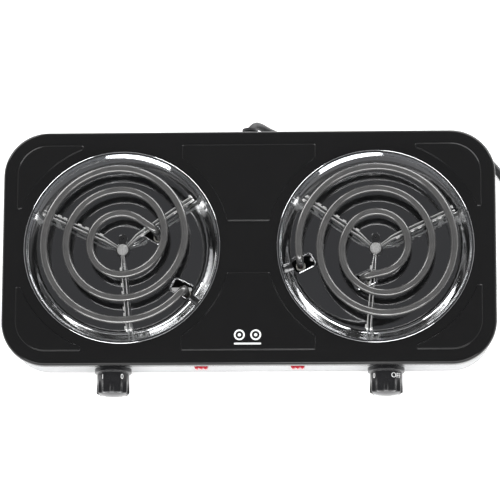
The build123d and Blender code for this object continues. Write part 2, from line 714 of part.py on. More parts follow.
def earth_wires():
    x, y = EARTH_SPOT
    lug_z = COVER_TOP_Z + 2.2
    return [tube([(0, SHEATH_END_Y, GLAND_Z - 2.0), (0, 85, GLAND_Z - 2.0), (0, 76, 20),
                  (0, 70, BLOCK_WIRE_Z), (0, BLOCK_BACK_Y, BLOCK_WIRE_Z)], WIRE_R, [4.0, 4.0, 3.0]),
            tube([(0, BLOCK_FRONT_Y, BLOCK_WIRE_Z), (0, 41, BLOCK_WIRE_Z), (0, 37, lug_z),
                  (0, y + 3.6, lug_z)], WIRE_R, [1.8, 1.8])]


def earth_screw():
    x, y = EARTH_SPOT
    screw = Pos(x, y, FOOT_H) * pan_head_screw(1.75, 8.0, 3.2, 2.0)
    nut = Pos(x, y, COVER_TOP_Z) * (extrude(RegularPolygon(3.5, 6), 4.4) - Cylinder(1.75, 12))
    return [screw, nut]


# ---------------------------------------------------------------- free cord, its coil, tie and plug
def fair_radii(points):
    """For each inner point, the largest arc that its two runs allow."""
    radii = []
    for before, here, after in zip(points, points[1:], points[2:]):
        run_in = Vector(*here) - Vector(*before)
        run_out = Vector(*after) - Vector(*here)
        turn = math.radians(run_in.get_angle(run_out))
        radii.append(0.45 * min(run_in.length, run_out.length) / math.tan(turn / 2))
    return radii


def cord_tube(points, name):
    radii = fair_radii(points)
    solid = tube(points, CORD_R, radii)
    length = solid.volume / (math.pi * CORD_R ** 2)
    print(name, "length", round(length, 1), "radii", [round(r, 1) for r in radii])
    return solid


def cord_coil():
    low = TIE_SHEET
    inner = COIL_INNER_R - CORD_R
    outer = COIL_OUTER_R + CORD_R
    layer = 2 * CORD_R
    ring = revolve_profile([(inner + 1, low), (outer - 1, low), (outer, low + 2), (outer, low + 5.5),
                            (outer - 3.4, low + layer + 6.1), (inner + 3.4, low + layer + 6.1),
                            (inner, low + 5.5), (inner, low + 2)])
    return Pos(*COIL_CENTRE, 0) * ring


def cord_tie():
    """A strap round the bundle of turns."""
    inner = COIL_INNER_R - CORD_R - TIE_SHEET
    outer = COIL_OUTER_R + CORD_R + TIE_SHEET
    height = 2 * TIE_SHEET + 2 * CORD_R + 6.1
    width = 9.0
    block = Pos((inner + outer) / 2, 0, height / 2) * Box(outer - inner, width, height)
    block = fillet(block.edges().filter_by(Axis.Y), 2.4)
    turn = 118.0
    strap = Pos(*COIL_CENTRE, 0) * Rot(0, 0, turn) * block
    return strap - cord_coil()


def plug_place():
    return Pos(*PLUG_TAIL) * Rot(-90 + PLUG_TILT, 0, 0)


PLUG_BODY = [(0, 0), (5.6, 0), (6.4, 11.0), (10.0, 13.0), (17.6, 44.0), (18.2, 45.5), (18.2, 50.0),
             (0, 50.0)]
PIN_DX = 9.5
PIN_R = 2.4
CLIP_SEAT_R = 16.5


def mains_plug():
    """The moulded plug, with a recess on either side for its earth clips."""
    body = revolve_profile(PLUG_BODY)
    recess = 3.0
    for side in (-1, 1):
        body -= Pos(side * PIN_DX, 0, 48.0) * Cylinder(PIN_R, 10)
        body -= Pos(0, side * (CLIP_SEAT_R + recess / 2), 46.0) * Box(6.0, recess, 12.0)
    return plug_place() * body


def plug_pins():
    pin = Pos(0, 0, 43.0 + 13.0) * Cylinder(PIN_R, 26.0)
    pin = fillet(pin.edges().group_by(Axis.Z)[-1], 1.6)
    return [plug_place() * Pos(side * PIN_DX, 0, 0) * pin for side in (-1, 1)]


def plug_earth_clips():
    sheet = 1.0
    clip = Box(5.4, sheet, 8.0)
    return [plug_place() * Pos(0, side * (CLIP_SEAT_R + sheet / 2), 46.5) * clip for side in (-1, 1)]


# ---------------------------------------------------------------- write the nodes
def burner_nodes(name):
    burner = BURNERS[name]
    return {
        f"{name}_drip_pan": drip_pan(burner),
        f"{name}_heating_coil": heating_coil(burner),
        f"{name}_coil_insulators": coil_insulators(burner),
        f"{name}_coil_pins": coil_pins(burner),
        f"{name}_trivet": trivet(burner),
        f"{name}_centre_screw": centre_screw(burner),
        f"{name}_cross_bar": cross_bar(burner),
        f"{name}_centre_nut": centre_nut(burner),
    }


def control_nodes(name, side):
    return {
        f"{name}_thermostat": thermostat(side),
        f"{name}_thermostat_shaft": thermostat_shaft(side),
        f"{name}_knob": knob(side),
        f"{name}_indicator_lens": indicator_lens(side),
        f"{name}_neon_lamp": neon_lamp(side),
    }


def all_nodes():
    nodes = {
        "top_plate": top_plate(),
        "plate_studs": plate_studs(),
        "plate_nuts": plate_nuts(),
        "lower_housing": lower_housing(),
        "base_cover": base_cover(),
        "rubber_feet": rubber_feet(),
        "base_screws": base_screws(),
    }
    for name, side in (("left", -1), ("right", 1)):
        nodes.update(burner_nodes(name))
        nodes.update(control_nodes(name, side))
    nodes.update({
        "thermostat_screws": thermostat_screws(),
        "cord_gland": cord_gland(),
        "gland_locknut": gland_locknut(),
        "inner_cord": inner_cord(),
        "terminal_block": terminal_block(),
        "terminal_screws": terminal_screws(),
        "live_wires": live_wires(),
        "neutral_wires": neutral_wires(),
        "switched_wires": switched_wires(),
        "earth_wires": earth_wires(),
        "earth_screw": earth_screw(),
        "mains_cord": cord_tube(LEAD_POINTS, "lead"),
        "cord_tail": cord_tube(TAIL_POINTS, "tail"),
        "cord_coil": cord_coil(),
        "cord_tie": cord_tie(),
        "mains_plug": mains_plug(),
        "plug_pins": plug_pins(),
        "plug_earth_clips": plug_earth_clips(),
    })
    return nodes


os.makedirs("parts", exist_ok=True)
for node_name, node_shape in all_nodes().items():
    if isinstance(node_shape, list):
        node_shape = Compound(children=node_shape)
    save(node_name, node_shape)
print("footprint shift", round(FOOTPRINT_SHIFT, 3))
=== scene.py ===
import json
import math

import bpy
from mathutils import Matrix, Vector
from mathutils.bvhtree import BVHTree
from mathutils.geometry import delaunay_2d_cdt

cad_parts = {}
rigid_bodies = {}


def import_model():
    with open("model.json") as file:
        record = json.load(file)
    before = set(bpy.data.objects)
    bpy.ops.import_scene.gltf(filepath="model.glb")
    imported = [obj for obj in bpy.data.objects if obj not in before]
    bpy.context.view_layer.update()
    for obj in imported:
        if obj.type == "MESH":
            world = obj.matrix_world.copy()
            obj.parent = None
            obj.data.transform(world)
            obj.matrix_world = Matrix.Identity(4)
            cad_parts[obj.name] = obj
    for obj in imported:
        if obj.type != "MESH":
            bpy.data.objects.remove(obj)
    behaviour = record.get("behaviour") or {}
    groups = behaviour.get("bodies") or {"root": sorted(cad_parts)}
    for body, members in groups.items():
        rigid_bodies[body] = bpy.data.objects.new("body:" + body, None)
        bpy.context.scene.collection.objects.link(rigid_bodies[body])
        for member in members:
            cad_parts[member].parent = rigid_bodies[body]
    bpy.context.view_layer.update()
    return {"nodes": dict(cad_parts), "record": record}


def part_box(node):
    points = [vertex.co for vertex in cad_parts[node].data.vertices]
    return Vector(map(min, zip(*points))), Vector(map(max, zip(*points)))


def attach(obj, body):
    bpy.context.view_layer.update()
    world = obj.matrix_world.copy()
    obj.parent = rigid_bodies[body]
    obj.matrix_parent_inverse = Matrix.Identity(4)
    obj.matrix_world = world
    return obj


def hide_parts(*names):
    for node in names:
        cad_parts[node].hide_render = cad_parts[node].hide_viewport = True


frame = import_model()

# Shapes are worked out in millimetres, in the row frame, and Shape.build() turns them to metres.
MM = 0.001


def box_mm(node):
    low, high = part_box(node)
    return low / MM, high / MM


def middle_mm(node):
    low, high = box_mm(node)
    return (low + high) / 2


# ---------------------------------------------------------------- camera
CAMERA_PLACE = (0.1410, -0.7060, 3.1188)
CAMERA_AIM = (0.0014, 0.0046, 0.0620)
CAMERA_ROLL = math.radians(-11.19)
CAMERA_LENS = 248.7


def make_camera():
    data = bpy.data.cameras.new("camera")
    data.lens = CAMERA_LENS
    data.sensor_width = 36.0
    camera = bpy.data.objects.new("camera", data)
    bpy.context.scene.collection.objects.link(camera)
    level = (Vector(CAMERA_AIM) - Vector(CAMERA_PLACE)).to_track_quat("-Z", "Y")
    camera.location = CAMERA_PLACE
    camera.rotation_mode = "QUATERNION"
    camera.rotation_quaternion = level @ Matrix.Rotation(CAMERA_ROLL, 4, "Z").to_quaternion()
    bpy.context.scene.camera = camera


# ---------------------------------------------------------------- finishes
class Finish:
    """A node material being made: one Principled shader, and what drives its sockets."""

    def __init__(self, name, **sockets):
        self.material = bpy.data.materials.new(name)
        self.material.use_nodes = True
        self.tree = self.material.node_tree
        self.shader = self.tree.nodes["Principled BSDF"]
        for socket, value in sockets.items():
            self.shader.inputs[socket.replace("_", " ")].default_value = value
        self.place = self.node("ShaderNodeTexCoord").outputs["Object"]

    def node(self, kind, values=None, **settings):
        made = self.tree.nodes.new(kind)
        for name, value in settings.items():
            setattr(made, name, value)
        for socket, value in (values or {}).items():
            if isinstance(value, bpy.types.NodeSocket):
                self.tree.links.new(value, made.inputs[socket])
            else:
                made.inputs[socket].default_value = value
        return made

    def noise(self, per_metre, detail=3.0, stretch=(1, 1, 1)):
        """Noise in the row frame, with about that many features to the metre."""
        place = self.node("ShaderNodeMapping", {"Vector": self.place, "Scale": stretch}).outputs[0]
        return self.node("ShaderNodeTexNoise",
                         {"Vector": place, "Scale": per_metre, "Detail": detail}).outputs[0]

    def cells(self, per_metre):
        """Distance to the nearest of many scattered points."""
        return self.node("ShaderNodeTexVoronoi",
                         {"Vector": self.place, "Scale": per_metre}).outputs[0]

    def spread(self, value, low, high, start=0.3, end=0.7):
        """Map a value that runs from start to end onto low to high."""
        return self.node("ShaderNodeMapRange",
                         {0: value, 1: start, 2: end, 3: low, 4: high}).outputs[0]

    def tint(self, factor, colour_a, colour_b):
        made = self.node("ShaderNodeMix", data_type="RGBA")
        self.tree.links.new(factor, made.inputs["Factor"])
        made.inputs["A"].default_value = (*colour_a, 1)
        made.inputs["B"].default_value = (*colour_b, 1)
        return made.outputs["Result"]

    def colour(self, factor, colour_a, colour_b):
        self.tree.links.new(self.tint(factor, colour_a, colour_b), self.shader.inputs["Base Color"])
        return self

    def roughness(self, value, low, high, start=0.3, end=0.7):
        driven = self.spread(value, low, high, start, end)
        self.tree.links.new(driven, self.shader.inputs["Roughness"])
        return self

    def bump(self, *layers):
        """Layers of (value, depth in millimetres), one over the other."""
        normal = None
        for value, depth in layers:
            values = {"Height": value, "Distance": depth * MM, "Strength": 1.0}
            if normal:
                values["Normal"] = normal
            normal = self.node("ShaderNodeBump", values).outputs[0]
        self.tree.links.new(normal, self.shader.inputs["Normal"])
        return self


def enamel():
    """Black stove enamel: deep gloss with a faint orange peel and fine dust."""
    made = Finish("black_enamel", Specular_IOR_Level=0.25)
    fine = made.noise(900, 2)
    broad = made.noise(22, 2)
    specks = made.spread(made.cells(260), 1.0, 0.0, 0.02, 0.05)
    made.colour(specks, (0.0080, 0.0080, 0.0082), (0.015, 0.015, 0.015))
    made.roughness(made.noise(70, 5), 0.10, 0.19)
    return made.bump((fine, 0.0012), (broad, 0.10)).material


def chrome():
    """Bright plated pan: mirror polish, slightly uneven in gloss and in its surface."""
    made = Finish("pan_chrome", Metallic=1.0)
    made.colour(made.noise(30, 4), (0.74, 0.75, 0.77), (0.83, 0.84, 0.85))
    made.roughness(made.noise(55, 6), 0.05, 0.12, 0.4, 0.75)
    return made.bump((made.noise(90, 1), 0.0015), (made.noise(22, 0), 0.012)).material


def coil_sheath():
    """Oxidised nickel alloy: satin grey, mottled by heat, with a soft unevenness."""
    made = Finish("coil_steel", Metallic=0.7)
    patches = made.noise(140, 6)
    made.colour(patches, (0.12, 0.12, 0.122), (0.21, 0.207, 0.203))
    made.roughness(made.noise(420, 4), 0.17, 0.27)
    return made.bump((made.noise(260, 2), 0.006)).material


def bright_sheet():
    """Bright stainless sheet with a short brushed grain."""
    made = Finish("trivet_steel", Metallic=0.72)
    grain = made.noise(900, 3, (1, 6, 1))
    made.colour(made.noise(120, 4), (0.74, 0.74, 0.73), (0.90, 0.90, 0.89))
    made.roughness(grain, 0.22, 0.38)
    return made.bump((grain, 0.004)).material


def plain_metal(name, dark, light, rough):
    """A plated or bare metal part, with two close shades and uneven gloss."""
    made = Finish(name, Metallic=1.0)
    made.colour(made.noise(260, 5), dark, light)
    made.roughness(made.noise(500, 4), rough * 0.75, rough * 1.3)
    return made.bump((made.noise(1400, 3), 0.004)).material


def grey_paint():
    """Light grey satin paint, with a fine texture and slight soiling."""
    made = Finish("housing_grey")
    made.colour(made.noise(18, 6), (0.35, 0.354, 0.36), (0.41, 0.415, 0.42))
    made.roughness(made.noise(300, 4), 0.32, 0.46)
    return made.bump((made.noise(1500, 2), 0.008)).material


def moulded(name, dark, light, rough, grain=0.006, per_metre=1800, **sockets):
    """A moulded plastic or rubber: two close shades, uneven gloss and a fine surface grain."""
    made = Finish(name, **sockets)
    made.colour(made.noise(90, 5), dark, light)
    made.roughness(made.noise(240, 5), rough * 0.8, rough * 1.25)
    return made.bump((made.noise(per_metre, 3), grain)).material


def red_lens():
    """Red translucent plastic with a clear gloss."""
    made = Finish("lens_red", Transmission_Weight=0.25, IOR=1.5, Coat_Weight=0.3,
                  Coat_Roughness=0.1)
    made.colour(made.noise(300, 3), (0.40, 0.004, 0.018), (0.55, 0.010, 0.03))
    made.roughness(made.noise(500, 3), 0.12, 0.22)
    return made.bump((made.noise(900, 2), 0.004)).material


def earth_insulation():
    """Green insulation with yellow patches."""
    made = Finish("wire_green", Roughness=0.45)
    stripes = made.spread(made.noise(90, 1), 0, 1, 0.48, 0.52)
    made.colour(stripes, (0.06, 0.32, 0.07), (0.75, 0.62, 0.05))
    return made.bump((made.noise(1500, 2), 0.004)).material


def white_print():
    """White screen print, slightly worn."""
    made = Finish("white_print")
    made.colour(made.noise(600, 4), (0.70, 0.70, 0.70), (0.82, 0.82, 0.82))
    made.roughness(made.noise(700, 3), 0.35, 0.5)
    return made.bump((made.noise(2000, 2), 0.003)).material


def painted_shade_cover():
    """Painted shade: the base cover in a near-black paint, so that the inside of the housing, seen
    through the pan slots, shows as shade.
    """
    made = Finish("painted_shade_cover", Specular_IOR_Level=0.3)
    made.colour(made.noise(25, 6), (0.022, 0.022, 0.023), (0.036, 0.036, 0.037))
    made.roughness(made.noise(300, 4), 0.5, 0.7)
    return made.bump((made.noise(1200, 2), 0.01)).material


def dull_steel():
    """Plain steel that mirrors the dark above it, for the trivet's hub plate."""
    made = Finish("dull_steel", Metallic=1.0)
    made.colour(made.noise(200, 4), (0.50, 0.50, 0.50), (0.68, 0.68, 0.67))
    made.roughness(made.noise(600, 4), 0.16, 0.28)
    return made.bump((made.noise(1500, 2), 0.004)).material


FINISHES = {
    "black_enamel": enamel(),
    "pan_chrome": chrome(),
    "coil_steel": coil_sheath(),
    "trivet_steel": bright_sheet(),
    "housing_grey": grey_paint(),
    "lens_red": red_lens(),
    "wire_green": earth_insulation(),
    "zinc_steel": plain_metal("zinc_steel", (0.50, 0.51, 0.52), (0.68, 0.68, 0.66), 0.3),
    "terminal_nickel": plain_metal("terminal_nickel", (0.62, 0.60, 0.56), (0.78, 0.76, 0.72), 0.2),
    "shaft_brass": plain_metal("shaft_brass", (0.60, 0.43, 0.18), (0.76, 0.58, 0.30), 0.25),
    "knob_black": moulded("knob_black", (0.010, 0.010, 0.011), (0.016, 0.016, 0.017), 0.16, 0.002),
    "rubber_black": moulded("rubber_black", (0.014, 0.014, 0.014), (0.03, 0.03, 0.03), 0.7, 0.02),
    "gland_black": moulded("gland_black", (0.014, 0.014, 0.015), (0.026, 0.026, 0.027), 0.45, 0.01),
    "cord_black": moulded("cord_black", (0.013, 0.013, 0.014), (0.022, 0.022, 0.023), 0.42, 0.008),
    "plug_black": moulded("plug_black", (0.014, 0.014, 0.015), (0.024, 0.024, 0.025), 0.5, 0.025,
                          1100),
    "tie_grey": moulded("tie_grey", (0.16, 0.16, 0.17), (0.24, 0.24, 0.25), 0.55, 0.03, 2400),
    "ceramic_white": moulded("ceramic_white", (0.70, 0.67, 0.60), (0.84, 0.82, 0.76), 0.7, 0.02),
    "thermostat_body": moulded("thermostat_body", (0.20, 0.10, 0.05), (0.28, 0.15, 0.08), 0.4,
                               0.01),
    "block_white": moulded("block_white", (0.72, 0.71, 0.66), (0.82, 0.81, 0.77), 0.45, 0.008),
    "wire_brown": moulded("wire_brown", (0.10, 0.04, 0.02), (0.16, 0.07, 0.03), 0.45),
    "wire_blue": moulded("wire_blue", (0.02, 0.07, 0.30), (0.04, 0.11, 0.40), 0.45),
    "wire_red": moulded("wire_red", (0.35, 0.02, 0.015), (0.5, 0.04, 0.03), 0.45),
    "lamp_glass": moulded("lamp_glass", (0.85, 0.55, 0.42), (0.95, 0.70, 0.55), 0.08, 0.001,
                          Transmission_Weight=0.8, IOR=1.45),
}
WHITE_PRINT = white_print()
PAINTED_SHADE_COVER = painted_shade_cover()
DULL_STEEL = dull_steel()
# painted shade: the base cover is made near black so the housing's inside looks dark through the
# slots
SHADE_PAINTED_FINISH = {"base_cover": PAINTED_SHADE_COVER}


def dress_cad_nodes():
    """Give every CAD node the finish of its slot; the base cover gets its near-black painted shade
    instead.
    """
    for row in frame["record"]["subparts"]:
        node = frame["nodes"][row["node"]]
        for place in node.material_slots:
            place.material = SHADE_PAINTED_FINISH.get(row["node"], FINISHES[row["material_slot"]])


# ---------------------------------------------------------------- building shapes
class Shape:
    """The points, in millimetres, and the faces of one mesh."""

    def __init__(self):
        self.points = []
        self.faces = []

    def ring(self, points):
        """Add points and return their numbers."""
        first = len(self.points)
        self.points += [tuple(p) for p in points]
        return list(range(first, len(self.points)))

    def level_ring(self, outline, z):
        return self.ring([(x, y, z) for x, y in outline])

    def skin(self, rings, closed=True):
        """Join each ring to the next with quads. Rings run anticlockwise about the way they go."""
        for a, b in zip(rings, rings[1:]):
            count = len(a)
            for i in range(count if closed else count - 1):
                j = (i + 1) % count
                self.faces.append((a[i], a[j], b[j], b[i]))

    def cap(self, ring, point, flip=False):
        """Close a ring with a fan to one point."""
        tip = self.ring([point])[0]
        for i, number in enumerate(ring):
            after = ring[(i + 1) % len(ring)]
            self.faces.append((after, number, tip) if flip else (number, after, tip))

    def sheet(self, outer, holes=(), facing_down=False, inside=()):
        """Fill the region inside one ring and outside the others, by way of any points inside."""
        rings = [outer, *holes]
        numbers = [n for ring in rings for n in ring] + list(inside)
        flat = [Vector(self.points[n][:2]) for n in numbers]
        loops, first = [], 0
        for ring in rings:
            loops.append(list(range(first, first + len(ring))))
            first += len(ring)
        _, _, faces, origin, _, regions = delaunay_2d_cdt(flat, [], loops, 1, 1e-6, True)
        for face, region in zip(faces, regions):
            if list(region) == [0]:
                corners = [numbers[origin[v][0]] for v in face]
                self.faces.append(tuple(reversed(corners)) if facing_down else tuple(corners))

    def build(self, name, sharp_over=40):
        """Make the mesh object, smooth but for edges sharper than so many degrees."""
        mesh = bpy.data.meshes.new(name)
        mesh.from_pydata([Vector(p) * MM for p in self.points], [], self.faces)
        mesh.update()
        mesh.shade_smooth()
        mesh.set_sharp_from_angle(angle=math.radians(sharp_over))
        piece = bpy.data.objects.new(name, mesh)
        bpy.context.scene.collection.objects.link(piece)
        return piece


def finished(piece, slot, body, *replaced, material=None):
    """Give a piece its finish and its place in the assembly."""
    piece.data.materials.clear()
    piece.data.materials.append(material or FINISHES[slot])
    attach(piece, body)
    if replaced:
        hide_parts(*replaced)
    return piece


def fair(piece, *modifiers):
    """Add modifiers given as (type, settings), then shading weighted to the large faces."""
    for kind, settings in modifiers:
        made = piece.modifiers.new(kind.lower(), kind)
        for name, value in settings.items():
            setattr(made, name, value)
    weighted = piece.modifiers.new("weighted", "WEIGHTED_NORMAL")
    weighted.keep_sharp = True


# ---------------------------------------------------------------- outlines
def arc(centre, radius, start, end, steps):
    """Points along an arc, both ends included. Angles are in degrees."""
    turns = [math.radians(start + (end - start) * i / steps) for i in range(steps + 1)]
    return [(centre[0] + radius * math.cos(t), centre[1] + radius * math.sin(t)) for t in turns]


def circle(centre, radius, steps):
    return arc(centre, radius, 0, 360, steps)[:-1]


def rounded_rectangle(centre, half_x, half_y, radius, steps):
    outline = []
    for sx, sy, start in ((1, 1, 0), (-1, 1, 90), (-1, -1, 180), (1, -1, 270)):
        corner = (centre[0] + sx * (half_x - radius), centre[1] + sy * (half_y - radius))
        outline += arc(corner, radius, start, start + 90, steps)
    return outline


def bend(start, corner, end, steps=7):
    """A soft turn from one point to another round a corner."""
    points = []
    for i in range(steps + 1):
        t = i / steps
        points.append(tuple((1 - t) ** 2 * a + 2 * t * (1 - t) * b + t ** 2 * c
                            for a, b, c in zip(start, corner, end)))
    return points


def inset(outline, distance):
    """Move an anticlockwise outline inwards."""
    moved = []
    for i, here in enumerate(outline):
        before = Vector(outline[i - 1])
        after = Vector(outline[(i + 1) % len(outline)])
        here = Vector(here)
        way_in = (here - before).normalized()
        way_out = (after - here).normalized()
        normal_in = Vector((-way_in.y, way_in.x))
        normal_out = Vector((-way_out.y, way_out.x))
        miter = (normal_in + normal_out) / (1 + normal_in.dot(normal_out))
        moved.append(tuple(here + miter * distance))
    return moved


def turned(outline, degrees, centre):
    """Turn an outline about the origin and move it to a place."""
    cos, sin = math.cos(math.radians(degrees)), math.sin(math.radians(degrees))
    return [(centre[0] + x * cos - y * sin, centre[1] + x * sin + y * cos) for x, y in outline]


def ease(value, start, end):
    """0 before start, 1 after end and a smooth step between."""
    t = min(1.0, max(0.0, (value - start) / (end - start)))
    return t * t * (3 - 2 * t)


# ---------------------------------------------------------------- top plate
PANEL_H = 1.2
PANEL_INSET = 12.5
PANEL_ARC_R = 98.5
PANEL_SLOPE = 1.6
PANEL_SLOPE_STEPS = 8
PANEL_TIP = 2.3
CORNER_PANEL_CUT = 36.0
CENTRE_PANEL_HALF_W = 61.5
CENTRE_PANEL_LOW_Y = 23.5
PLATE_CORNER_R = 41.0
LIP_ROLL_R = 4.0
PLATE_SHEET = 1.0
PLATE_HOLE_R = 88.0

plate_low, plate_high = box_mm("top_plate")
PLATE_MIDDLE = middle_mm("top_plate")
PLATE_HALF_X = (plate_high.x - plate_low.x) / 2
PLATE_HALF_Y = (plate_high.y - plate_low.y) / 2
PANEL_TOP = plate_high.z
PLATE_TOP = PANEL_TOP - PANEL_H
BURNER_X = middle_mm("right_drip_pan").x


def plate_outline(distance):
    return rounded_rectangle(PLATE_MIDDLE.xy, PLATE_HALF_X - distance, PLATE_HALF_Y - distance,
                             PLATE_CORNER_R - distance, 28)


def mirrored(outline, sx, sy):
    """Flip about the plate's middle, kept anticlockwise, and move to the row frame."""
    flipped = [(sx * x + PLATE_MIDDLE.x, sy * y + PLATE_MIDDLE.y) for x, y in outline]
    return flipped if sx * sy > 0 else flipped[::-1]


def corner_panel():
    """The front left embossed field, about the plate's middle: a round outer corner, two blunt
    ends, and an arc concentric with the burner."""
    edge_x = PANEL_INSET - PLATE_HALF_X
    edge_y = PANEL_INSET - PLATE_HALF_Y
    cut_x = -BURNER_X - CORNER_PANEL_CUT
    cut_y = -CORNER_PANEL_CUT
    corner_r = PLATE_CORNER_R - PANEL_INSET
    burner = (-BURNER_X, 0.0)
    low_turn = 180 + math.degrees(math.acos(CORNER_PANEL_CUT / PANEL_ARC_R))
    high_turn = 180 + math.degrees(math.asin(CORNER_PANEL_CUT / PANEL_ARC_R))
    trim = math.degrees(PANEL_TIP / PANEL_ARC_R)
    low_end, high_end = arc(burner, PANEL_ARC_R, low_turn, high_turn, 1)
    along = arc(burner, PANEL_ARC_R, low_turn - trim, high_turn + trim, 40)
    tip = PANEL_TIP
    return (arc((edge_x + corner_r, edge_y + corner_r), corner_r, 180, 270, 20)
            + bend((cut_x - tip, edge_y), (cut_x, edge_y), (cut_x, edge_y + tip))
            + bend((cut_x, low_end[1] - tip), low_end, along[0]) + along[1:-1]
            + bend(along[-1], high_end, (high_end[0] - tip, cut_y))
            + bend((edge_x + tip, cut_y), (edge_x, cut_y), (edge_x, cut_y - tip)))


def centre_panel():
    """The rear field between the burners, about the plate's middle, with two waisted sides."""
    high_y = PLATE_HALF_Y - PANEL_INSET
    tip = PANEL_TIP
    top_turn = math.degrees(math.acos((BURNER_X - CENTRE_PANEL_HALF_W) / PANEL_ARC_R))
    low_turn = math.degrees(math.asin(CENTRE_PANEL_LOW_Y / PANEL_ARC_R))
    trim = math.degrees(tip / PANEL_ARC_R)
    right = (BURNER_X, 0.0)
    low_end, top_end = arc(right, PANEL_ARC_R, 180 - low_turn, 180 - top_turn, 1)
    along = arc(right, PANEL_ARC_R, 180 - low_turn - trim, 180 - top_turn + trim, 40)
    half = (bend((low_end[0] - tip, CENTRE_PANEL_LOW_Y), low_end, along[0]) + along[1:-1]
            + bend(along[-1], top_end, (top_end[0], top_end[1] + tip))
            + bend((top_end[0], high_y - tip), (top_end[0], high_y), (top_end[0] - tip, high_y)))
    return half + [(-x, y) for x, y in half[::-1]]


def panel_outlines():
    corners = [mirrored(corner_panel(), sx, sy) for sx in (1, -1) for sy in (1, -1)]
    return corners + [mirrored(centre_panel(), 1, sy) for sy in (1, -1)]


def make_top_plate():
    """The outer face of the plate, rolled at its edge, with the raised panels and the two holes."""
    shape = Shape()
    profile = [(0.0, box_mm("top_plate")[0].z), (0.0, PLATE_TOP - LIP_ROLL_R - 2.0)]
    profile += [(LIP_ROLL_R - r, PLATE_TOP - LIP_ROLL_R + z)
                for r, z in arc((0, 0), LIP_ROLL_R, 0, 90, 10)]
    rings = [shape.level_ring(plate_outline(distance), z) for distance, z in profile]
    shape.skin(rings)
    holes = []
    for outline in panel_outlines():
        slope = []
        for step in range(PANEL_SLOPE_STEPS + 1):
            share = step / PANEL_SLOPE_STEPS
            z = PLATE_TOP + PANEL_H * ease(share, 0, 1)
            slope.append(shape.level_ring(inset(outline, PANEL_SLOPE * share), z))
        shape.skin(slope)
        shape.sheet(slope[-1])
        holes.append(slope[0])
    for side in ("left", "right"):
        hole = circle(middle_mm(f"{side}_drip_pan").xy, PLATE_HOLE_R, 128)
        holes.append(shape.level_ring(hole, PLATE_TOP))
    shape.sheet(rings[-1], holes)
    plate = finished(shape.build("enamel_top_plate"), "black_enamel", "housing", "top_plate")
    fair(plate, ("SOLIDIFY", {"thickness": PLATE_SHEET * MM, "offset": -1.0,
                              "use_even_offset": True}))


# ---------------------------------------------------------------- drip pans
PAN_FLOOR_R = 68.0
PAN_BOWL_R = 20.0
PAN_CONE = math.radians(37.0)
PAN_BOWL_STEPS = 9
PAN_FINE_R = 81.6
PAN_CONE_R = 85.8
PAN_SHEET = 0.6
PAN_DEPTH = 13.0
PAN_BEAD_R = 1.45
PAN_BEAD_LIFT = 0.15
PAN_STEPS = 192
# how far the bead's flat edge stays above the plate, and how far in it reaches
PAN_SEAT = 0.03
PAN_SEAT_W = 2.2
HUB_HOLE_R = 2.3
SLOT_HALF_L = 9.5
SLOT_HALF_W = 5.8
SLOT_CORNER = 3.0
SLOT_CLEAR = 3.4
# the drawn-up edge of a slot: how far outside the opening, and how high above the floor
SLOT_FLANGE = [(2.4, 0.0), (1.7, 0.1), (1.2, 0.4), (0.8, 0.9),
               (0.5, 1.15), (0.2, 1.2), (0.0, 0.95), (0.0, 0.5)]
# each pan's two slots: x and y from the pan's middle, and the turn of its long side
PAN_SLOTS = {
    "left": ((54.8, -36.2, -26.6), (28.4, 15.4, -31.0)),
    "right": ((-66.3, -13.2, 27.0), (-10.2, -28.4, 23.0)),
}


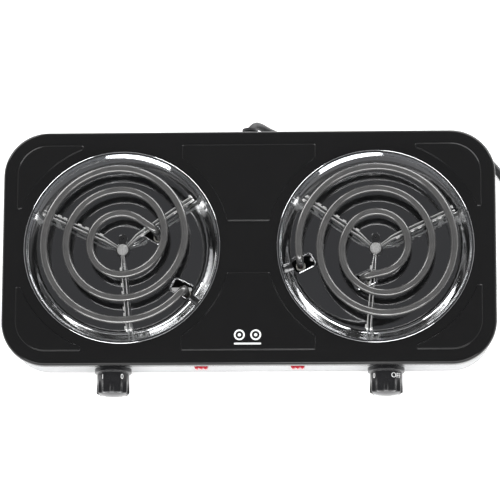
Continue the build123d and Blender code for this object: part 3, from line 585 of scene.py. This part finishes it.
class Pan:
    """One drip pan being made: a pressed sheet with a rolled bead and two drawn slots."""

    def __init__(self, side):
        self.side = side
        self.shape = Shape()
        self.middle = middle_mm(f"{side}_drip_pan")
        self.low = PLATE_TOP - PAN_DEPTH

    def height(self, radius, below=0.0):
        """The height of the floor, bowl and cone, or of the face that lies a sheet below them."""
        out = max(0.0, radius - PAN_FLOOR_R)
        bowl = PAN_BOWL_R + below
        round_part = min(out, bowl * math.sin(PAN_CONE))
        cone_part = (out - round_part) * math.tan(PAN_CONE)
        return self.low + PAN_BOWL_R - math.sqrt(bowl ** 2 - round_part ** 2) + cone_part

    def ring(self, radius, z):
        return self.shape.level_ring(circle(self.middle.xy, radius, PAN_STEPS), z)

    def wall_rings(self, below):
        """The cone, and the upright step from it to the bead."""
        radii = [PAN_FINE_R + (PAN_CONE_R + 0.4 * below - PAN_FINE_R) * i / 4 for i in range(5)]
        rings = [self.ring(r, self.height(r, below)) for r in radii]
        out, foot = radii[-1], self.height(radii[-1], below)
        top = PLATE_TOP + PAN_SEAT - foot
        step = ((0.3, 0.35), (0.5, 0.9), (0.8, 2.6), (1.2, top))
        rings += [self.ring(out + r, foot + z) for r, z in step]
        return rings

    def slot_outline(self, slot, grow):
        x, y, turn = slot
        loop = rounded_rectangle((0, 0), SLOT_HALF_L + grow, SLOT_HALF_W + grow,
                                 SLOT_CORNER + grow * 0.6, 6)
        return turned(loop, turn, (self.middle.x + x, self.middle.y + y))

    def near_slot(self, x, y):
        """Whether a point lies on a slot or its drawn-up edge."""
        for slot_x, slot_y, turn in PAN_SLOTS[self.side]:
            dx = x - self.middle.x - slot_x
            dy = y - self.middle.y - slot_y
            cos, sin = math.cos(math.radians(turn)), math.sin(math.radians(turn))
            along, across = dx * cos + dy * sin, dy * cos - dx * sin
            if abs(along) < SLOT_HALF_L + SLOT_CLEAR and abs(across) < SLOT_HALF_W + SLOT_CLEAR:
                return True
        return False

    def lying(self, outline, z_over_floor, below):
        """A loop on the floor and bowl, or at a height over the floor where that is higher."""
        points = []
        for x, y in outline:
            radius = math.hypot(x - self.middle.x, y - self.middle.y)
            z = self.height(radius, below)
            points.append((x, y, z if below else max(z, self.low + z_over_floor)))
        return self.shape.ring(points)

    def floor(self, outer, slots, hub, below):
        """The floor and bowl, out to the cone, round the slots and the centre hole."""
        inside = []
        spacing = [8.0 * i for i in range(1, 9)] + [PAN_FLOOR_R]
        spacing += [PAN_FLOOR_R + (PAN_BOWL_R + below) * math.sin(PAN_CONE * i / PAN_BOWL_STEPS)
                    for i in range(1, PAN_BOWL_STEPS + 1)]
        for radius in spacing:
            steps = PAN_STEPS if radius >= PAN_FLOOR_R else 48
            loop = [p for p in circle(self.middle.xy, radius, steps) if not self.near_slot(*p)]
            inside += self.shape.ring([(x, y, self.height(radius, below)) for x, y in loop])
        self.shape.sheet(outer, [*slots, hub], facing_down=below > 0, inside=inside)

    def make(self):
        rim_r = box_mm(f"{self.side}_drip_pan")[1].x - self.middle.x
        bead = [self.ring(rim_r - PAN_BEAD_R + r, PLATE_TOP + PAN_BEAD_LIFT + z)
                for r, z in arc((0, 0), PAN_BEAD_R, 180, 0, 10)]
        edge = [self.ring(r, PLATE_TOP + PAN_SEAT) for r in (rim_r, rim_r - PAN_SEAT_W)]
        inner = self.wall_rings(0.0)
        outer = self.wall_rings(PAN_SHEET)
        self.shape.skin(inner + bead + edge + outer[::-1])
        top_loops, low_loops = [], []
        for slot in PAN_SLOTS[self.side]:
            flange = [self.lying(self.slot_outline(slot, grow), z, 0.0) for grow, z in SLOT_FLANGE]
            flange.append(self.lying(self.slot_outline(slot, 0.0), 0.0, PAN_SHEET))
            self.shape.skin(flange)
            top_loops.append(flange[0])
            low_loops.append(flange[-1])
        hub = [self.shape.level_ring(circle(self.middle.xy, HUB_HOLE_R, 32), z)
               for z in (self.low, self.low - PAN_SHEET)]
        self.shape.skin(hub)
        self.floor(inner[0], top_loops, hub[0], 0.0)
        self.floor(outer[0], low_loops, hub[1], PAN_SHEET)
        pan = finished(self.shape.build(f"{self.side}_polished_pan", 50), "pan_chrome", "housing",
                       f"{self.side}_drip_pan")
        fair(pan)


# ---------------------------------------------------------------- trivets
ARM_START_R = 5.6
ARM_REACH = 79.0
ARM_SHEET = 0.8
ARM_STEP = 0.5
ARM_TOP_Z = 66.0
ARM_CLEAR = 0.25
ARM_LUG_R = (21.5, 36.0, 43.4, 58.0, 63.6, 76.0)
ARM_TURN = {"left": 35.2, "right": 25.2}
# an arm's lower edge under the plate's face, and half the gap between its strips, at the hub
# and how much it widens
ARM_DROP = 2.4
ARM_NEAR = 0.5
ARM_WIDENS = 0.65
# where the search for the coil over a strip starts under the plate's face, and its reach in metres
SEARCH_DROP = 4.0
SEARCH_REACH = 0.011
LUG_CLEAR = 1.6
HUB_RISE = 2.5
HUB_R = 6.4
TAB_Y = 10.2
TAB_R = 4.2


def between(value, knots):
    """The height at a distance, from straight runs between knots."""
    for (x0, y0), (x1, y1) in zip(knots, knots[1:]):
        if value <= x1:
            return y0 + (y1 - y0) * max(0.0, value - x0) / (x1 - x0)
    return knots[-1][1]


class Trivet:
    """Three arms of two upright strips each, which run in to a hub plate with a tab."""

    def __init__(self, side):
        self.side = side
        self.middle = middle_mm(f"{side}_drip_pan")
        coil = frame["nodes"][f"{side}_heating_coil"].data
        self.coil = BVHTree.FromPolygons([v.co for v in coil.vertices],
                                         [p.vertices for p in coil.polygons])
        foot_z = box_mm(f"{side}_trivet")[0].z
        self.hub_z = PLATE_TOP - PAN_DEPTH + HUB_RISE
        arm_low = PLATE_TOP - ARM_DROP
        self.under = [(ARM_START_R, self.hub_z), (10.0, self.hub_z), (17.0, arm_low),
                      (62.5, arm_low), (63.5, foot_z), (67.0, foot_z), (68.0, arm_low),
                      (ARM_REACH, arm_low)]
        self.over = [(ARM_START_R, self.hub_z + 3.6), (17.0, ARM_TOP_Z),
                     (ARM_REACH - 1.4, ARM_TOP_Z), (ARM_REACH, ARM_TOP_Z - 1.6)]

    def at(self, turn, along, across):
        """A place on an arm, from its distance out and its distance to the side."""
        t = math.radians(turn)
        return (self.middle.x + along * math.cos(t) - across * math.sin(t),
                self.middle.y + along * math.sin(t) + across * math.cos(t))

    def top(self, x, y, along):
        """The strip's top edge: its own line, or just under the coil where that passes over it."""
        line = between(along, self.over)
        start = Vector((x, y, PLATE_TOP - SEARCH_DROP)) * MM
        hit = self.coil.ray_cast(start, Vector((0, 0, 1)), SEARCH_REACH)[0]
        return min(line, hit.z / MM - ARM_CLEAR) if hit else line

    def strip(self, turn, side):
        """One of an arm's two upright strips."""
        shape = Shape()
        count = round((ARM_REACH - ARM_START_R) / ARM_STEP)
        rings = []
        for i in range(count + 1):
            along = ARM_START_R + (ARM_REACH - ARM_START_R) * i / count
            near = side * (ARM_NEAR + ARM_WIDENS * ease(along, 8.0, 24.0))
            far = near + side * ARM_SHEET
            corners = []
            for across in (near, far):
                x, y = self.at(turn, along, across)
                corners.append([(x, y, between(along, self.under)), (x, y, self.top(x, y, along))])
            (a_low, a_high), (b_low, b_high) = corners
            ring = shape.ring([a_low, b_low, b_high, a_high])
            rings.append(ring if side > 0 else ring[::-1])
        shape.skin(rings)
        shape.faces += [tuple(reversed(rings[0])), tuple(rings[-1])]
        return shape

    def lug(self, turn, along, side, half_l, half_w):
        """A small ear folded out level from a strip's top edge."""
        shape = Shape()
        across = side * (ARM_NEAR + ARM_WIDENS + ARM_SHEET + half_w - 0.15)
        outline = []
        for dx, dy in rounded_rectangle((0, 0), half_l, half_w, min(half_l, half_w) * 0.55, 4):
            outline.append(self.at(turn, along + dx, across + dy))
        levels = [(0.12, -0.9), (0.0, -0.78), (0.0, -0.12), (0.12, 0.0)]
        rings = [shape.level_ring(inset(outline, grow), ARM_TOP_Z + z) for grow, z in levels]
        shape.skin(rings)
        shape.sheet(rings[-1])
        shape.sheet(rings[0], facing_down=True)
        return shape

    def clear_of_coil(self, turn, along):
        x, y = self.at(turn, along, 0.0)
        distance = self.coil.find_nearest(Vector((x, y, ARM_TOP_Z)) * MM)[3]
        return distance > LUG_CLEAR * MM

    def hub(self):
        """The plate the arms meet in, with its locating tab."""
        shape = Shape()
        x, y = self.middle.x, self.middle.y
        outline = arc((x, y), HUB_R, 90 + 30, 360 + 60, 64) + arc((x, y + TAB_Y), TAB_R, 0, 180, 32)
        hole = circle((x, y + TAB_Y), 1.1, 24)
        levels = [(0.15, -0.5), (0.0, -0.35), (0.0, 0.35), (0.15, 0.5)]
        rings = [shape.level_ring(inset(outline, grow), self.hub_z + z) for grow, z in levels]
        holes = [shape.level_ring(hole, self.hub_z + z) for z in (0.5, -0.5)]
        shape.skin(rings)
        shape.skin(holes)
        shape.sheet(rings[-1], [holes[0]])
        shape.sheet(rings[0], [holes[1]], facing_down=True)
        return shape

    def make(self):
        strips = Shape()
        for third in range(3):
            turn = ARM_TURN[self.side] + 120 * third
            parts = [self.strip(turn, side) for side in (-1, 1)]
            for along in ARM_LUG_R:
                if self.clear_of_coil(turn, along):
                    parts.append(self.lug(turn, along, -1, 1.9, 0.75))
            parts.append(self.lug(turn, ARM_REACH - 1.6, 1, 1.2, 0.9))
            for part in parts:
                first = len(strips.points)
                strips.points += part.points
                strips.faces += [tuple(n + first for n in face) for face in part.faces]
        node = f"{self.side}_trivet"
        arms = strips.build(f"{self.side}_trivet_arms", 30)
        fair(finished(arms, "trivet_steel", "housing", node))
        hub = self.hub().build(f"{self.side}_trivet_hub", 30)
        fair(finished(hub, "trivet_steel", "housing", node, material=DULL_STEEL))


# ---------------------------------------------------------------- knobs and their marks
KNOB_STEPS = 240
SKIRT_R = 16.9
SKIRT_L = 4.4
GRIP_R = 14.7
GRIP_L = 19.2
DOME_R = 12.0
DOME_H = 1.9
FLUTES = 12
FLUTE_DEPTH = 1.9
FLUTE_SHARE = 0.82
# (distance from the back, radius) up the bore, out past the hollow back and to the skirt
KNOB_BORE = [(15.2, 3.05), (2.0, 3.05), (1.6, 5.2), (12.0, 5.4), (12.0, 12.4), (0.3, 12.6),
             (0.0, 12.9)]
GRIP_SWELL = 0.35
GRIP_EDGE = 1.3
MARK_SIZE = 6.4
MARK_Y = 9.2
MARK_PROUD = 0.02
MARK_THICK = 0.04
# degrees from the top at rest, clockwise as seen from the front
DIAL_REST = {"left": 126.0, "right": 40.0}
DIAL_MARKS = {"OFF": 0.0, "0": -88.0, "1": -162.0, "2": -236.0, "3": -300.0}


def flute(angle, share):
    """How far a finger scallop cuts into the grip at an angle, for its share of the full depth."""
    across = ((angle / (360 / FLUTES)) % 1.0 - 0.5) * 2 / FLUTE_SHARE
    return FLUTE_DEPTH * share * max(0.0, 1 - across * across)


def knob_profile():
    """(distance from the back, radius, share of the flute), round the skirt and up the grip."""
    grip_end = SKIRT_L + GRIP_L
    points = [(0.0, SKIRT_R - 0.5, 0), (0.15, SKIRT_R - 0.15, 0), (0.5, SKIRT_R, 0),
              (SKIRT_L - 1.2, SKIRT_R, 0), (SKIRT_L - 0.6, SKIRT_R - 0.15, 0),
              (SKIRT_L - 0.2, SKIRT_R - 0.6, 0), (SKIRT_L + 0.1, GRIP_R + 0.5, 0),
              (SKIRT_L + 0.4, GRIP_R + 0.1, 0), (SKIRT_L + 0.9, GRIP_R, 0)]
    for i in range(1, 15):
        along = SKIRT_L + 0.9 + (GRIP_L - 2.2) * i / 14
        points.append((along, GRIP_R + GRIP_SWELL * ease(along, 10, grip_end),
                       ease(along, 8, grip_end - 1)))
    for i in range(1, 7):
        turn = math.radians(90 * i / 6)
        points.append((grip_end - GRIP_EDGE + GRIP_EDGE * math.sin(turn),
                       GRIP_R + GRIP_SWELL - 1.9 * (1 - math.cos(turn)), 1))
    return points


def knob_dome():
    """The domed end, as (distance from the back, radius)."""
    end = SKIRT_L + GRIP_L
    sphere_r = (DOME_R ** 2 + DOME_H ** 2) / (2 * DOME_H)
    radii = [DOME_R * math.cos(math.radians(90 * i / 12)) for i in range(12)]
    return [(end + DOME_H - sphere_r + math.sqrt(sphere_r ** 2 - r ** 2), r) for r in radii]


def make_knob(side):
    """A skirted knob with finger scallops, turned about its own axis."""
    shape = Shape()
    low, high = box_mm(f"{side}_knob")
    centre = (low + high) / 2
    back = high.y
    angles = [360 * i / KNOB_STEPS for i in range(KNOB_STEPS)]

    def ring(along, radius, share=0.0):
        points = []
        for angle in angles:
            r = radius - flute(angle, share)
            t = math.radians(angle)
            points.append((centre.x + r * math.sin(t), back - along, centre.z + r * math.cos(t)))
        return shape.ring(points)

    rings = [ring(along, radius) for along, radius in KNOB_BORE]
    rings += [ring(*point) for point in knob_profile()]
    rings += [ring(*point) for point in knob_dome()]
    shape.skin(rings)
    tip = SKIRT_L + GRIP_L + DOME_H
    shape.cap(rings[-1], (centre.x, back - tip, centre.z))
    shape.cap(rings[0], (centre.x, back - KNOB_BORE[0][0], centre.z), flip=True)
    knob = shape.build(f"{side}_fluted_knob", 50)
    fair(finished(knob, "knob_black", f"{side}_dial", f"{side}_knob"))


def flat_text(words, size):
    """A word as a thin flat mesh in millimetres, middle at the origin."""
    curve = bpy.data.curves.new("mark", "FONT")
    curve.body = words
    curve.size = size
    curve.extrude = MARK_THICK
    curve.align_x = "CENTER"
    curve.align_y = "CENTER"
    holder = bpy.data.objects.new("mark", curve)
    bpy.context.scene.collection.objects.link(holder)
    bpy.context.view_layer.update()
    evaluated = holder.evaluated_get(bpy.context.evaluated_depsgraph_get())
    mesh = bpy.data.meshes.new_from_object(evaluated)
    bpy.data.objects.remove(holder)
    return mesh


def wrap_on_grip(mesh, side, turn):
    """Bend a flat word round the knob's grip, its foot towards the front."""
    low, high = box_mm(f"{side}_knob")
    centre = (low + high) / 2
    for vertex in mesh.vertices:
        radius = GRIP_R + MARK_PROUD + vertex.co.z
        t = math.radians(turn) + vertex.co.x / radius
        vertex.co = Vector((centre.x + radius * math.sin(t), high.y - MARK_Y + vertex.co.y,
                            centre.z + radius * math.cos(t))) * MM


def make_dial_marks(side):
    for words, turn in DIAL_MARKS.items():
        mesh = flat_text(words, MARK_SIZE)
        wrap_on_grip(mesh, side, DIAL_REST[side] + turn)
        mark = bpy.data.objects.new(f"{side}_dial_mark_{words}", mesh)
        bpy.context.scene.collection.objects.link(mark)
        finished(mark, "knob_black", f"{side}_dial", material=WHITE_PRINT)


# ---------------------------------------------------------------- burner pictogram on the plate
PICTOGRAM_PLACE = (-0.5, -84.4)
PICTOGRAM_H = 0.06
PICTOGRAM_BASE = 0.01


def make_pictogram():
    """Two small printed rings joined by a bar under them: a plain sign for two burners."""
    shape = Shape()
    x0 = PLATE_MIDDLE.x + PICTOGRAM_PLACE[0]
    y0 = PLATE_MIDDLE.y + PICTOGRAM_PLACE[1]

    def printed(outline, holes):
        top = shape.level_ring(outline, PANEL_TOP + PICTOGRAM_H)
        low = shape.level_ring(outline, PANEL_TOP + PICTOGRAM_BASE)
        inner_top = [shape.level_ring(h, PANEL_TOP + PICTOGRAM_H) for h in holes]
        inner_low = [shape.level_ring(h, PANEL_TOP + PICTOGRAM_BASE) for h in holes]
        shape.skin([low, top])
        for a, b in zip(inner_top, inner_low):
            shape.skin([a, b])
        shape.sheet(top, inner_top)
        shape.sheet(low, inner_low, facing_down=True)

    for side in (-1, 1):
        centre = (x0 + side * 7.4, y0 + 2.2)
        printed(circle(centre, 4.9, 64), [circle(centre, 3.5, 64)])
        printed(circle(centre, 1.5, 32), [])
    printed(rounded_rectangle((x0, y0 - 5.9), 12.3, 0.8, 0.75, 6), [])
    mark = shape.build("burner_pictogram")
    finished(mark, "black_enamel", "housing", material=WHITE_PRINT)


# ---------------------------------------------------------------- indicator lenses
LENS_RIBS = (-4.1, 0.0, 4.1)
LENS_RIB_R = 2.05
LENS_RIB_PROUD = 2.05
LENS_RIB_END = 1.6
LENS_FACE_PROUD = 0.9
LENS_EDGE = 0.5
LENS_COLUMNS = 66
LENS_ROWS = 22


def make_lens(side):
    """A small plate with three upright half-round ribs, rounded at their ends."""
    shape = Shape()
    low, high = box_mm(f"{side}_indicator_lens")
    centre = (low + high) / 2
    front = box_mm("lower_housing")[0].y
    half_x = (high.x - low.x) / 2
    half_z = (high.z - low.z) / 2

    def proud(x, z):
        rib = max(math.sqrt(max(0.0, 1 - ((x - c) / LENS_RIB_R) ** 2)) for c in LENS_RIBS)
        past = max(0.0, (abs(z) - half_z + LENS_RIB_END) / LENS_RIB_END)
        end = math.sqrt(max(0.0, 1 - past ** 2))
        edge = min(1.0, (half_x - abs(x)) / LENS_EDGE, (half_z - abs(z)) / LENS_EDGE)
        return LENS_FACE_PROUD * math.sqrt(max(0.0, edge)) + LENS_RIB_PROUD * rib * end

    rings = []
    for j in range(LENS_ROWS + 1):
        z = half_z * (2 * j / LENS_ROWS - 1)
        face = [(half_x * (2 * i / LENS_COLUMNS - 1), z) for i in range(LENS_COLUMNS + 1)]
        front_row = [(centre.x + x, front - proud(x, z), centre.z + z) for x, z in face]
        back_row = [(centre.x + x, front + 0.05, centre.z + z) for x, z in face[::-1]]
        rings.append(shape.ring(front_row + back_row))
    shape.skin(rings)
    shape.faces.append(tuple(reversed(rings[0])))
    shape.faces.append(tuple(rings[-1]))
    lens = shape.build(f"{side}_ribbed_lens", 60)
    fair(finished(lens, "lens_red", "housing", f"{side}_indicator_lens"))


# ---------------------------------------------------------------- mains cord, gland and plug
CORD_D = 0.007
CORD_SHIFT_Y = PLATE_MIDDLE.y * MM
# the route of the mains cord about the housing's middle, in metres
LEAD_POINTS = [
    (-0.0010, 0.1135, 0.0380),
    (0.0034, 0.1212, 0.0346),
    (0.0086, 0.1230, 0.0252),
    (0.0170, 0.1198, 0.0156),
    (0.0310, 0.1156, 0.0088),
    (0.0520, 0.1132, 0.0050),
    (0.0820, 0.1116, 0.0037),
    (0.1160, 0.1110, 0.0036),
    (0.1500, 0.1120, 0.0036),
    (0.1790, 0.1120, 0.0036),
    (0.1995, 0.1090, 0.0036),
    (0.2148, 0.0990, 0.0036),
    (0.2265, 0.0870, 0.0036),
    (0.2356, 0.0740, 0.0036),
    (0.2406, 0.0565, 0.0037),
    (0.2422, 0.0340, 0.0040),
]
TAIL_POINTS = [
    (0.3240, 0.0180, 0.0108),
    (0.3240, 0.0360, 0.0116),
    (0.3242, 0.0530, 0.0092),
    (0.3244, 0.0690, 0.0064),
    (0.3245, 0.0840, 0.0080),
]
COIL_CENTRE = (0.2840, 0.0200)
COIL_RADII = (0.0437, 0.0366, 0.0400)
COIL_LEVELS = (0.0043, 0.0104)
COIL_START, COIL_END, COIL_STEP = 196.0, 1066.0, 22.5
# the angles between which the cord moves inwards to the second turn, and up to the third
COIL_MOVES_IN = (482, 545)
COIL_MOVES_UP = (790, 850)


def coil_points():
    """The put-away turns: an outer one, an inner one beside it, and the rest on top of both."""
    outer_r, inner_r, top_r = COIL_RADII
    low, high = COIL_LEVELS
    points = []
    steps = round((COIL_END - COIL_START) / COIL_STEP)
    for i in range(steps + 1):
        angle = COIL_START + (COIL_END - COIL_START) * i / steps
        inwards = ease(angle, *COIL_MOVES_IN)
        upwards = ease(angle, *COIL_MOVES_UP)
        radius = outer_r + (inner_r - outer_r) * inwards + (top_r - inner_r) * upwards
        t = math.radians(angle)
        points.append((COIL_CENTRE[0] + radius * math.cos(t),
                       COIL_CENTRE[1] + radius * math.sin(t),
                       low + (high - low) * upwards))
    return points


def make_cord():
    """The whole cord as one smooth round curve, from the gland to the plug."""
    route = LEAD_POINTS + coil_points() + TAIL_POINTS
    curve = bpy.data.curves.new("mains_lead", "CURVE")
    curve.dimensions = "3D"
    spline = curve.splines.new("NURBS")
    spline.points.add(len(route) - 1)
    for point, (x, y, z) in zip(spline.points, route):
        point.co = (x, y + CORD_SHIFT_Y, z, 1.0)
    spline.order_u = 3
    spline.use_endpoint_u = True
    spline.resolution_u = 10
    curve.bevel_depth = CORD_D / 2
    curve.bevel_resolution = 6
    curve.use_fill_caps = True
    cord = bpy.data.objects.new("mains_lead", curve)
    bpy.context.scene.collection.objects.link(cord)
    finished(cord, "cord_black", "housing", "mains_cord", "cord_coil", "cord_tail")


GLAND_STEPS = 96


def make_gland():
    """The strain relief: a flange on the wall, a rib and a collar round the cord."""
    shape = Shape()
    low, high = box_mm("cord_gland")
    centre = (low + high) / 2
    wall = box_mm("lower_housing")[1].y
    end = high.y
    start = low.y
    profile = [(start, 3.6), (start, 5.2), (start + 0.3, 5.5), (wall, 5.5), (wall + 0.02, 8.8),
               (wall + 0.25, 9.0), (wall + 2.2, 9.0), (wall + 2.5, 8.7), (wall + 3.2, 8.3),
               (wall + 3.5, 5.9), (wall + 5.0, 5.8), (wall + 5.2, 7.6), (wall + 5.5, 7.8),
               (wall + 6.8, 7.8), (wall + 7.1, 7.6), (wall + 7.3, 5.6), (end - 3.0, 5.5),
               (end - 2.7, 7.0), (end - 2.4, 7.25), (end - 0.4, 7.25), (end - 0.1, 7.05),
               (end, 6.7), (end, 3.9), (end - 0.4, 3.6)]
    turns = [2 * math.pi * i / GLAND_STEPS for i in range(GLAND_STEPS)]
    rings = []
    for y, radius in profile:
        loop = [(centre.x + radius * math.sin(t), y, centre.z + radius * math.cos(t))
                for t in turns]
        rings.append(shape.ring(loop)[::-1])
    shape.skin(rings + [rings[0]])
    gland = finished(shape.build("strain_relief", 40), "gland_black", "housing", "cord_gland")
    fair(gland)


PLUG_TAIL = (324.5, 84.0, 8.0)
PLUG_TILT = math.radians(12.5)
# (distance along the plug, radius): a ribbed neck, a flare with grip rings, and the flat end
PLUG_L = 50.0
PLUG_PROFILE = [(0.0, 3.6), (0.0, 5.2), (0.4, 5.6), (2.2, 5.6), (2.6, 5.0), (3.6, 5.0), (4.0, 5.8),
                (5.8, 5.9), (6.2, 5.2), (7.2, 5.2), (7.6, 6.1), (9.6, 6.3), (10.4, 6.9),
                (11.6, 8.6), (13.2, 10.0), (16.0, 10.9), (19.0, 11.6), (19.5, 11.4), (21.0, 11.8),
                (21.5, 12.3), (24.0, 12.9), (24.5, 12.7), (26.0, 13.1), (26.5, 13.6), (29.0, 14.2),
                (29.5, 14.0), (31.0, 14.4), (31.5, 14.9), (36.0, 16.0), (44.0, 17.6), (45.5, 18.1),
                (46.2, 18.2), (49.3, 18.2), (49.8, 18.0), (PLUG_L, 17.6), (PLUG_L, 12.0)]
PLUG_STEPS = 160
PLUG_RECESS = 16.35
PLUG_RECESS_HALF_W = 3.0
PLUG_RECESS_FROM = 40.2


def make_plug():
    """The moulded round plug, with grip rings and two flat recesses for its earth clips."""
    shape = Shape()
    rings = []
    for along, radius in PLUG_PROFILE:
        points = []
        for i in range(PLUG_STEPS):
            t = 2 * math.pi * i / PLUG_STEPS
            x, y = radius * math.sin(t), radius * math.cos(t)
            in_recess = along > PLUG_RECESS_FROM and abs(x) < PLUG_RECESS_HALF_W
            if in_recess and abs(y) > PLUG_RECESS:
                y = math.copysign(PLUG_RECESS, y)
            points.append((x, y, along))
        rings.append(shape.ring(points)[::-1])
    shape.skin(rings)
    shape.cap(rings[0], (0, 0, 0.0), flip=True)
    shape.cap(rings[-1], (0, 0, PLUG_L))
    # lay it down: its axis points along +Y, tipped up so that the wide end rests on the floor
    turn = Matrix.Rotation(PLUG_TILT - math.pi / 2, 3, "X")
    place = Vector(PLUG_TAIL) + Vector((0, PLATE_MIDDLE.y, 0))
    shape.points = [tuple(turn @ Vector(p) + place) for p in shape.points]
    plug = finished(shape.build("moulded_plug", 35), "plug_black", "housing", "mains_plug")
    fair(plug)


# ---------------------------------------------------------------- studio
FLOOR_SIZE = 8.0
FLOOR_Z = -0.0002
KEY_SIZE = 3.0
KEY_POWER = 95.0
SOFTBOX_AIM = (0, 0, 0.05)
# (name, place, width and height, watts, the drip pan that doesn't see it)
SOFTBOXES = [
    ("front_left", (-0.56, -1.5, 0.66), (1.45, 0.42), 13.0, "right_polished_pan"),
    ("front_right", (0.62, -1.5, 0.66), (1.45, 0.42), 13.0, "left_polished_pan"),
    ("back_left", (-1.0, 1.2, 0.30), (1.0, 0.56), 11.0, None),
    ("back_right", (0.85, 1.35, 0.30), (1.5, 0.56), 15.0, None),
]


def area_light(name, place, aim, size, power, glossy):
    """A rectangular lamp that the camera doesn't see."""
    data = bpy.data.lights.new(name, "AREA")
    data.shape = "RECTANGLE"
    data.size, data.size_y = size
    data.energy = power
    light = bpy.data.objects.new(name, data)
    bpy.context.scene.collection.objects.link(light)
    light.location = place
    light.rotation_euler = (Vector(aim) - Vector(place)).to_track_quat("-Z", "Y").to_euler()
    light.visible_camera = False
    light.visible_glossy = glossy
    return light


def make_world():
    """A studio that is white at the horizon and dark overhead."""
    world = bpy.data.worlds.new("studio")
    world.use_nodes = True
    tree = world.node_tree
    direction = tree.nodes.new("ShaderNodeTexCoord").outputs["Generated"]
    split = tree.nodes.new("ShaderNodeSeparateXYZ")
    ramp = tree.nodes.new("ShaderNodeValToRGB")
    ramp.color_ramp.elements[0].position = 0.02
    ramp.color_ramp.elements[0].color = (0.9, 0.9, 0.9, 1)
    ramp.color_ramp.elements[1].position = 0.6
    ramp.color_ramp.elements[1].color = (0.05, 0.05, 0.052, 1)
    middle = ramp.color_ramp.elements.new(0.28)
    middle.color = (0.30, 0.30, 0.305, 1)
    tree.links.new(direction, split.inputs[0])
    tree.links.new(split.outputs["Z"], ramp.inputs[0])
    tree.links.new(ramp.outputs[0], tree.nodes["Background"].inputs["Color"])
    bpy.context.scene.world = world


def make_floor():
    """A plain sheet of pale paper, just under the feet."""
    half = FLOOR_SIZE / 2
    mesh = bpy.data.meshes.new("floor")
    corners = [(x * half, y * half, FLOOR_Z) for x, y in ((-1, -1), (1, -1), (1, 1), (-1, 1))]
    mesh.from_pydata(corners, [], [(0, 1, 2, 3)])
    floor = bpy.data.objects.new("floor", mesh)
    bpy.context.scene.collection.objects.link(floor)
    paper = Finish("paper", Roughness=0.9, Specular_IOR_Level=0.1, Emission_Color=(1, 1, 1, 1),
                   Emission_Strength=0.35)
    paper.colour(paper.noise(4, 3), (0.93, 0.93, 0.93), (0.95, 0.95, 0.95))
    mesh.materials.append(paper.material)


def softbox(name, place, size, power, unseen_by):
    """A softbox that shows in reflections, but may be kept from lighting one drip pan."""
    light = area_light(name, place, SOFTBOX_AIM, size, power, glossy=True)
    if unseen_by:
        lit = bpy.data.collections.new(f"{name}_lights")
        for thing in bpy.context.scene.objects:
            if thing.type in {"MESH", "CURVE"} and thing.name != unseen_by:
                lit.objects.link(thing)
        light.light_linking.receiver_collection = lit


def make_studio():
    make_world()
    make_floor()
    area_light("overhead", (0.0, 0.0, 2.2), (0, 0, 0), (KEY_SIZE, KEY_SIZE), KEY_POWER,
               glossy=False)
    for row in SOFTBOXES:
        softbox(*row)
    bpy.context.scene.view_settings.view_transform = "Standard"


make_camera()
make_gland()
make_plug()
make_cord()
dress_cad_nodes()
make_top_plate()
for side_name in ("left", "right"):
    Pan(side_name).make()
    Trivet(side_name).make()
    make_knob(side_name)
    make_dial_marks(side_name)
    make_lens(side_name)
make_pictogram()
make_studio()
